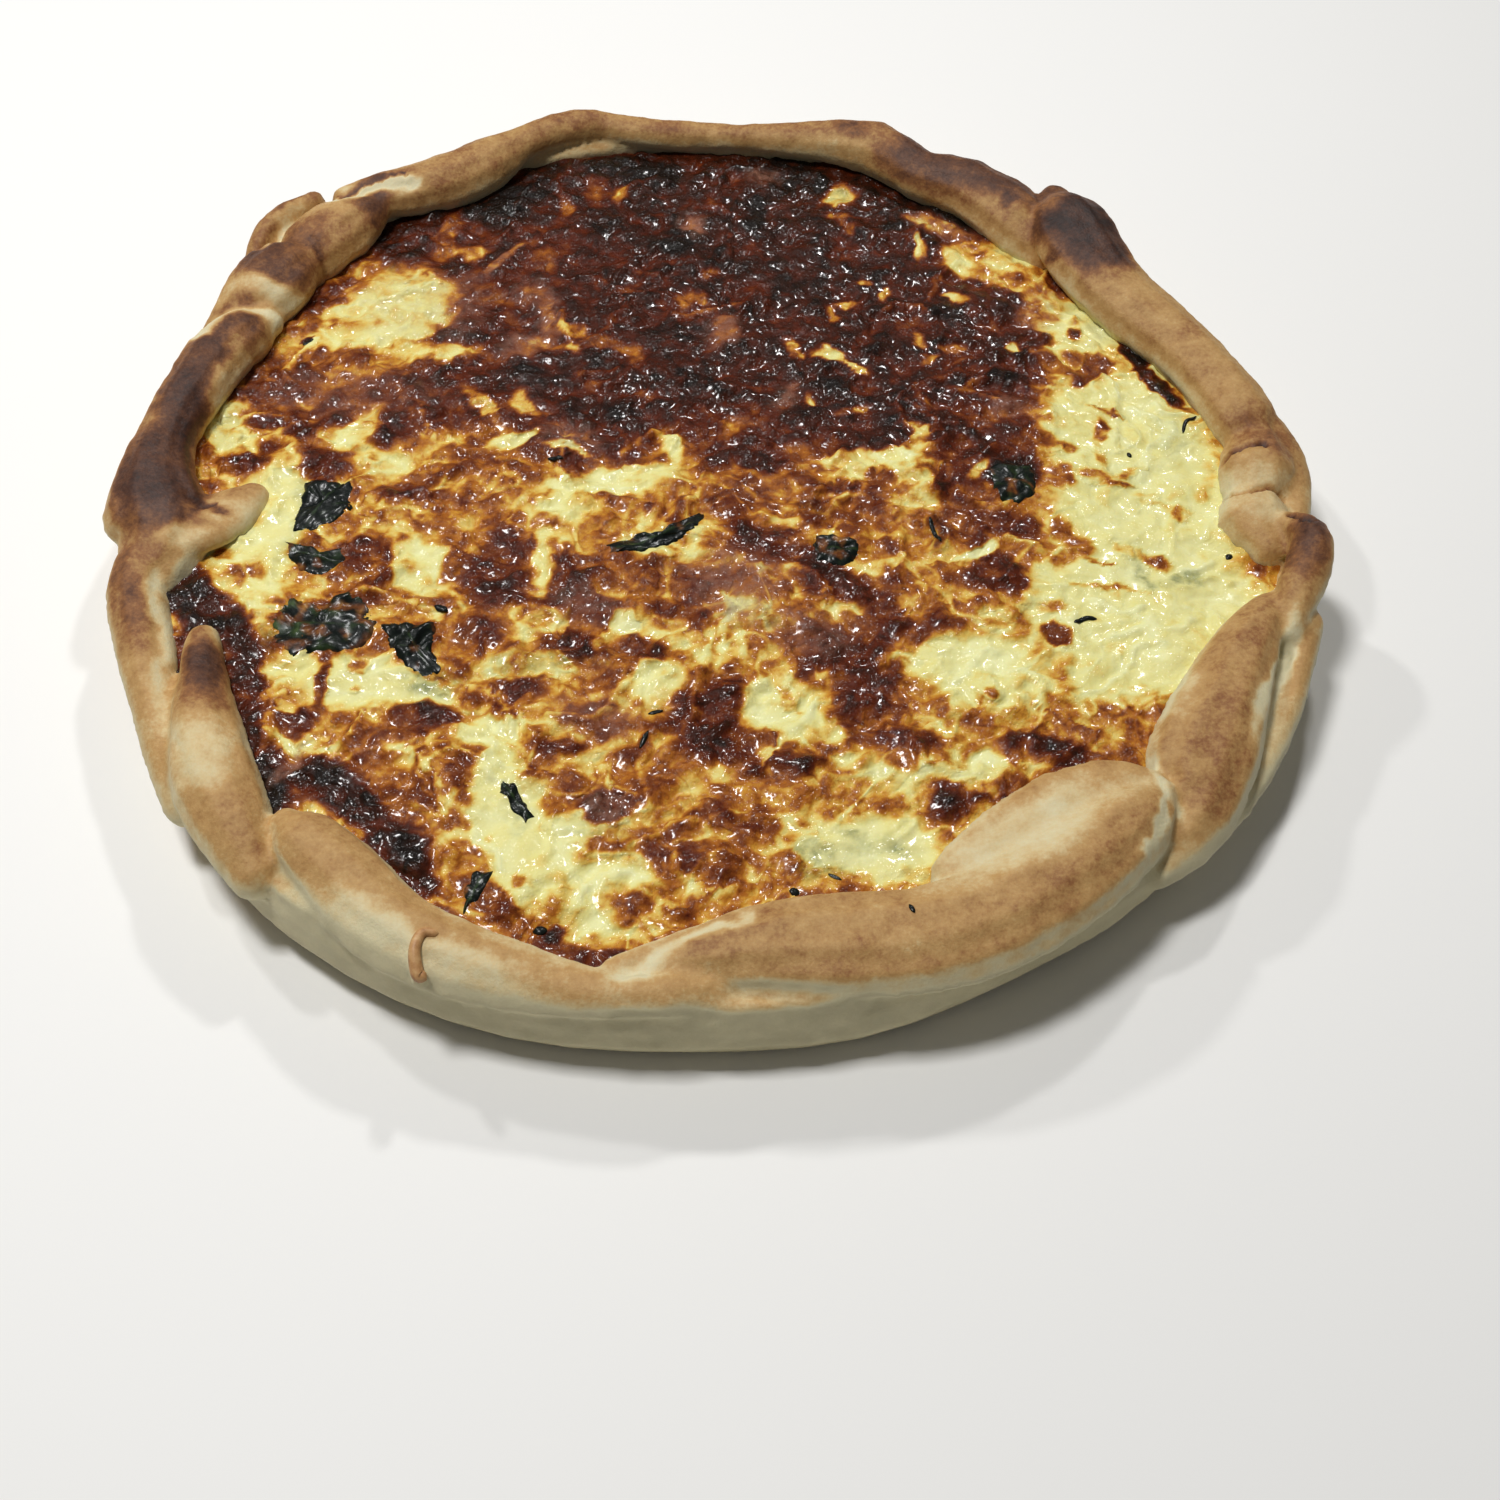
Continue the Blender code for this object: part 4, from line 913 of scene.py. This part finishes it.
class QUICHE_OT_filling(bpy.types.Operator):
    """Makes the egg and cheese filling, with melted shreds, blobs and everything that browned on it"""

    bl_idname = "quiche.filling"
    bl_label = "Filling"

    def execute(self, context):
        sizes, colours = context.scene.quiche_sizes, context.scene.quiche_colours
        places, faces, rim = self.disc(sizes.filling_cells)
        fields = self.fields(places, sizes)
        height = filling_height(places) + fields.pop("relief") * sizes.filling_relief / MM
        top = np.column_stack([places, height])
        below = top[rim]
        below[:, :2] *= FILLING_UNDERSIDE_SHARE
        below[:, 2] = FILLING_UNDERSIDE
        count, size = len(top), len(rim)
        points = np.vstack([top, below, [[0, 0, FILLING_UNDERSIDE]]])
        for k in range(size):
            n = (k + 1) % size
            faces.append((rim[n], rim[k], count + k, count + n))
            faces.append((count + n, count + k, count + size))
        mesh = mesh_from("filling_baked", points, faces)
        for name, values in fields.items():
            keep_attribute(mesh, name, np.concatenate([values, values[rim], [PAINT_BELOW]]))
        filling = add_object("filling_baked", mesh, browned_cheese(colours))
        put_in_place(filling, "filling", "filling")
        return {"FINISHED"}

    def disc(self, cells):
        """Places, faces and rim of an even grid of squares pressed into the crust's round."""
        line = np.linspace(-1, 1, cells + 1)
        v, u = np.meshgrid(line, line, indexing="ij")
        x, y = (u * np.sqrt(1 - v**2 / 2)).ravel(), (v * np.sqrt(1 - u**2 / 2)).ravel()
        ring_angle, ring_radius = foot_ring()
        edge = np.interp(np.arctan2(y, x), ring_angle, ring_radius, period=math.tau) + FILLING_INTO_WALL
        places = np.column_stack([x * edge, y * edge])
        side = cells + 1
        corner = (np.arange(cells)[:, None] * side + np.arange(cells)).ravel()
        faces = [(k, k + 1, k + side + 1, k + side) for k in corner.tolist()]
        rim = [*range(side), *range(2 * side - 1, side * side, side)]
        rim += [*range(side * side - 2, side * (side - 1) - 1, -1), *range(side * (side - 2), 0, -side)]
        return places, faces, rim

    def fields(self, places, sizes):
        """Browning, stains and relief at each place."""
        moved = warped(places, 41)
        patches = (*BAKED_BACK, *BAKED_RIGHT, *BAKED_MIDDLE, *BAKED_LEFT, *CHARRED)
        baking = painted(moved, BAKING_BETWEEN, patches)
        mixed = painted(moved, 1.0, MIXED, 0.5)
        blob = layered(places, 9.0, 2, 51)
        lumps = np.abs(noise(moved, 7.5, 55)) + 0.55 * np.abs(noise(moved, 3.8, 56)) - 0.42
        crumb = layered(places, 2.4, 2, 52)
        spots = smooth(0.25, 0.6, noise(places, 5.5, 53))
        rise, shade = melted_shreds(moved, sizes.shred_count, 0.5 * sizes.shred_width / MM)
        pale = 1 - smooth(0.3, 0.6, baking)
        baking += mixed * (0.16 * blob + 0.16 * lumps + 0.05 * crumb) + 0.12 * spots * pale
        baking += rise * (0.17 * shade - 0.04)
        dark = smooth(0.6, 0.85, baking)
        relief = 0.7 * blob + 2.0 * lumps * (0.3 + 0.7 * mixed) + (0.1 + 0.25 * dark) * crumb + 0.8 * rise
        return {
            "relief": relief,
            "baking": baking,
            "stain": painted(moved, 0.0, STAINED, 0.5),
            "pink": painted(moved, 0.0, PINKISH, 0.5),
        }


def surface_finder():
    """A function that gives the height in millimetres of what shows at x, y from above."""
    graph = bpy.context.evaluated_depsgraph_get()
    trees = [BVHTree.FromObject(bpy.data.objects[name], graph) for name in ("crust_baked", "filling_baked")]
    start, down = 0.1, Vector((0, 0, -1))

    def height(x, y):
        hits = [tree.ray_cast(Vector((x * MM, y * MM, start)), down)[0] for tree in trees]
        return max(hit.z for hit in hits if hit) / MM

    return height


class QUICHE_OT_leaves(bpy.types.Operator):
    """Makes the wilted herb leaves, crumpled and baked into the top"""

    bl_idname = "quiche.leaves"
    bl_label = "Herb leaves"

    def execute(self, context):
        sizes, colours = context.scene.quiche_sizes, context.scene.quiche_colours
        finish = wilted_herb(colours)
        height = surface_finder()
        for seed, (name, outline, browned, green) in enumerate(LEAVES):
            leaf = self.leaf(name, outline, browned, green, sizes.leaf_thickness / MM, height, 61 + 5 * seed)
            leaf.data.materials.append(finish)
            put_in_place(leaf, "herb", name)
        return {"FINISHED"}

    def leaf(self, name, outline, browned, green, thickness, height, seed):
        """One leaf: a thin crumpled sheet with a torn edge that dips into the filling."""
        edge = self.torn_edge(outline, seed)
        middle = edge.mean(0)
        shares = np.arange(1, LEAF_RINGS + 1) / LEAF_RINGS
        places = np.vstack([middle[None], *(middle + share * (edge - middle) for share in shares)])
        share = np.concatenate([[0.0], np.repeat(shares, LEAF_SIDES)])
        rest = np.array([height(x, y) for x, y in places])
        crumple = 1.4 * np.abs(noise(places, 4.5, seed + 1)) + 0.5 * np.abs(noise(places, 2.2, seed + 2))
        lift = -LEAF_SUNK + LEAF_CRUMPLE * crumple * (1 - 0.5 * share**4) - LEAF_EDGE_SUNK * share**6
        under = np.column_stack([places, rest + lift])
        points = np.vstack([under, under + (0, 0, thickness)])
        mesh = mesh_from(name + "_wilted", points, self.sheet_faces(len(under)))
        along, across = ((places - middle) @ np.linalg.svd(edge - middle, full_matrices=False)[2].T).T
        ribs = np.abs((along / LEAF_RIB_GAP + np.abs(across) / 3) % 1 - 0.5)
        vein = np.maximum(np.exp(-((across / LEAF_MIDRIB) ** 2)), 0.6 * (1 - smooth(0.03, 0.12, ribs)))
        vein = np.maximum(vein, 2 * green * smooth(-0.2, 0.5, noise(places, 5.0, seed + 5)))
        cover = smooth(0.5 - browned, 0.75 - browned, noise(places, 3.5, seed + 3)) * (browned > 0)
        keep_attribute(mesh, "vein", np.tile(vein, 2))
        keep_attribute(mesh, "covered", np.tile(cover, 2))
        return add_object(name + "_wilted", mesh)

    def torn_edge(self, outline, seed):
        """Places round the leaf's outline, made uneven as a torn edge."""
        corners = np.array([*outline, outline[0]], float)
        length = np.concatenate([[0], np.cumsum(np.linalg.norm(np.diff(corners, axis=0), axis=1))])
        steps = np.linspace(0, length[-1], LEAF_SIDES, endpoint=False)
        edge = np.column_stack([np.interp(steps, length, corners[:, axis]) for axis in (0, 1)])
        return edge + LEAF_TEAR * np.column_stack([noise(edge, 2.4, seed), noise(edge, 2.4, seed + 4)])

    def sheet_faces(self, layer):
        """Faces of a closed sheet of two layers, each a middle point with rings round it."""
        faces = []
        for k in range(LEAF_SIDES):
            n = (k + 1) % LEAF_SIDES
            faces += [(0, 1 + n, 1 + k), (layer, layer + 1 + k, layer + 1 + n)]
            for ring in range(LEAF_RINGS - 1):
                low, high = 1 + ring * LEAF_SIDES, 1 + (ring + 1) * LEAF_SIDES
                faces.append((low + k, low + n, high + n, high + k))
                faces.append((layer + low + k, layer + high + k, layer + high + n, layer + low + n))
            last = 1 + (LEAF_RINGS - 1) * LEAF_SIDES
            faces.append((last + k, last + n, layer + last + n, layer + last + k))
        return faces


def tube(points, widths, sides=8, flatness=1.0):
    """Points and faces of a closed tube along points in millimetres, with flat ends."""
    points = np.array(points, float)
    rings, faces = [], []
    for k, point in enumerate(points):
        ahead = points[min(k + 1, len(points) - 1)] - points[max(k - 1, 0)]
        ahead /= np.linalg.norm(ahead)
        side = np.cross(ahead, (0, 0, 1.0))
        side /= np.linalg.norm(side) + 1e-9
        up = np.cross(side, ahead)
        turns = np.arange(sides) / sides * math.tau
        ring = point + widths[k] * (np.cos(turns)[:, None] * side + flatness * np.sin(turns)[:, None] * up)
        rings.append(ring)
    for level in range(len(points) - 1):
        for k in range(sides):
            n = (k + 1) % sides
            low, high = level * sides, (level + 1) * sides
            faces.append((low + k, low + n, high + n, high + k))
    last = (len(points) - 1) * sides
    faces.append(tuple(range(sides - 1, -1, -1)))
    faces.append(tuple(last + k for k in range(sides)))
    return np.vstack(rings), faces


def along_curve(points, steps):
    """Rows read from a smooth curve through the named rows."""
    table = np.array(points, float)
    table = np.vstack([2 * table[0] - table[1], table, 2 * table[-1] - table[-2]])
    found = []
    for k in range(1, len(table) - 2):
        before, start, end, after = table[k - 1 : k + 3]
        for share in np.arange(steps) / steps:
            found.append(
                0.5 * (2 * start + (end - before) * share
                + (2 * before - 5 * start + 4 * end - after) * share**2
                + (3 * start - before - 3 * end + after) * share**3)
            )
    found.append(table[-2])
    return np.array(found)


END_TAPER = (0.25, 0.7)


def tapered(count):
    """Shares of the full width along a tube, small at both ends."""
    shares = np.ones(count)
    for k, share in enumerate(END_TAPER):
        shares[k] = shares[-1 - k] = share
    return shares


class QUICHE_OT_slivers(bpy.types.Operator):
    """Makes the dark slivers of herb that lie on the filling and on the rim"""

    bl_idname = "quiche.slivers"
    bl_label = "Herb slivers"

    def execute(self, context):
        height = surface_finder()
        all_points, all_faces, count = [], [], 0
        for line, half_width in SLIVERS:
            rows = along_curve(line, SLIVER_STEPS)
            path = np.array([(x, y, height(x, y) + SLIVER_RISE) for x, y in rows])
            points, faces = tube(path, half_width * tapered(len(path)), flatness=SLIVER_FLATNESS)
            all_points.append(points)
            all_faces += [tuple(count + k for k in face) for face in faces]
            count += len(points)
        mesh = mesh_from("herb_slivers", np.vstack(all_points), all_faces)
        keep_attribute(mesh, "vein", np.zeros(count))
        keep_attribute(mesh, "covered", np.zeros(count))
        slivers = add_object("herb_slivers", mesh, bpy.data.materials["wilted_herb_leaf"])
        put_in_place(slivers, "herb")
        return {"FINISHED"}


class QUICHE_OT_rim_shred(bpy.types.Operator):
    """Makes the shred of cheese that baked on to the front of the rim"""

    bl_idname = "quiche.rim_shred"
    bl_label = "Shred on the rim"

    def execute(self, context):
        rows = along_curve(RIM_SHRED, RIM_SHRED_STEPS)
        points, faces = tube(rows[:, :3], rows[:, 3] * tapered(len(rows)), sides=RIM_SHRED_SIDES)
        mesh = mesh_from("rim_shred", points, faces)
        shred = add_object("rim_shred", mesh, melted_shred())
        put_in_place(shred, "filling")
        return {"FINISHED"}


# Place in metres, angle below the horizon, roll and lens of the camera, as fitted to the photograph
CAMERA_PLACE = (0.0091, -0.2899, 0.3311)
CAMERA_DOWN = math.radians(54.593)
CAMERA_ROLL = math.radians(2.946)
CAMERA_LENS = 45.6
CAMERA_SENSOR = 36.0
FLOOR_SIDE = 3.0
WORLD_STRENGTH = 0.1

# Square soft lights: name, place and side in metres, and power in watts
LIGHTS = (
    ("overhead", (-0.25, -0.02, 0.9), 0.16, 5.6), ("back_lamp", (0.15, 0.62, 0.78), 0.06, 2.4),
    ("left_lamp", (-0.5, 0.45, 0.72), 0.06, 1.9),
)


class QUICHE_OT_stage(bpy.types.Operator):
    """Sets the pale floor, the soft studio lights and the camera"""

    bl_idname = "quiche.stage"
    bl_label = "Stage"

    def execute(self, context):
        scene = context.scene
        half = FLOOR_SIDE / 2
        corners = [(-half, -half, 0), (half, -half, 0), (half, half, 0), (-half, half, 0)]
        mesh = bpy.data.meshes.new("floor")
        mesh.from_pydata(corners, [], [(0, 1, 2, 3)])
        floor = add_object("floor", mesh, studio_floor(scene.quiche_colours))
        for name, place, side, power in LIGHTS:
            self.light(name, place, side, power)
        world = bpy.data.worlds.new("studio")
        world.use_nodes = True
        background = world.node_tree.nodes["Background"]
        set_inputs(world.node_tree, background, {"Color": (1, 1, 1, 1), "Strength": WORLD_STRENGTH})
        scene.world = world
        scene.view_settings.view_transform = "Standard"
        scene.camera = self.camera()
        return {"FINISHED"}

    def light(self, name, place, side, power):
        """A square soft light that faces the quiche."""
        data = bpy.data.lights.new(name, "AREA")
        data.shape, data.size, data.energy = "SQUARE", side, power
        lamp = bpy.data.objects.new(name, data)
        lamp.location = place
        lamp.rotation_mode = "QUATERNION"
        lamp.rotation_quaternion = (-Vector(place)).to_track_quat("-Z", "Y")
        bpy.context.scene.collection.objects.link(lamp)

    def camera(self):
        """The camera at the viewing angle of the photograph."""
        data = bpy.data.cameras.new("camera")
        data.lens, data.sensor_width = CAMERA_LENS, CAMERA_SENSOR
        camera = bpy.data.objects.new("camera", data)
        ahead = Vector((0, math.cos(CAMERA_DOWN), -math.sin(CAMERA_DOWN)))
        right = Vector((1, 0, 0))
        up = right.cross(ahead)
        cos, sin = math.cos(CAMERA_ROLL), math.sin(CAMERA_ROLL)
        x_axis, y_axis = right * cos + up * sin, up * cos - right * sin
        turn = Matrix((x_axis, y_axis, -ahead)).transposed().to_4x4()
        camera.matrix_world = Matrix.Translation(CAMERA_PLACE) @ turn
        bpy.context.scene.collection.objects.link(camera)
        return camera


OPERATORS = (
    QUICHE_OT_crust, QUICHE_OT_filling, QUICHE_OT_leaves, QUICHE_OT_slivers, QUICHE_OT_rim_shred,
    QUICHE_OT_stage,
)


class QUICHE_PT_looks(bpy.types.Panel):
    bl_label = "Quiche"
    bl_idname = "QUICHE_PT_looks"
    bl_space_type = "VIEW_3D"
    bl_region_type = "UI"
    bl_category = "Quiche"

    def draw(self, context):
        for operator in OPERATORS:
            self.layout.operator(operator.bl_idname)
        for group in (context.scene.quiche_sizes, context.scene.quiche_colours):
            for name in group.bl_rna.properties.keys():
                if name not in ("rna_type", "name"):
                    self.layout.prop(group, name)


CLASSES = (QuicheSizes, QuicheColours, *OPERATORS, QUICHE_PT_looks)


def register():
    for each in CLASSES:
        bpy.utils.register_class(each)
    bpy.types.Scene.quiche_sizes = PointerProperty(type=QuicheSizes)
    bpy.types.Scene.quiche_colours = PointerProperty(type=QuicheColours)


def unregister():
    del bpy.types.Scene.quiche_colours
    del bpy.types.Scene.quiche_sizes
    for each in reversed(CLASSES):
        bpy.utils.unregister_class(each)


def main():
    register()
    for operator in OPERATORS:
        group, name = operator.bl_idname.split(".")
        getattr(getattr(bpy.ops, group), name)()


if __name__ == "__main__":
    main()
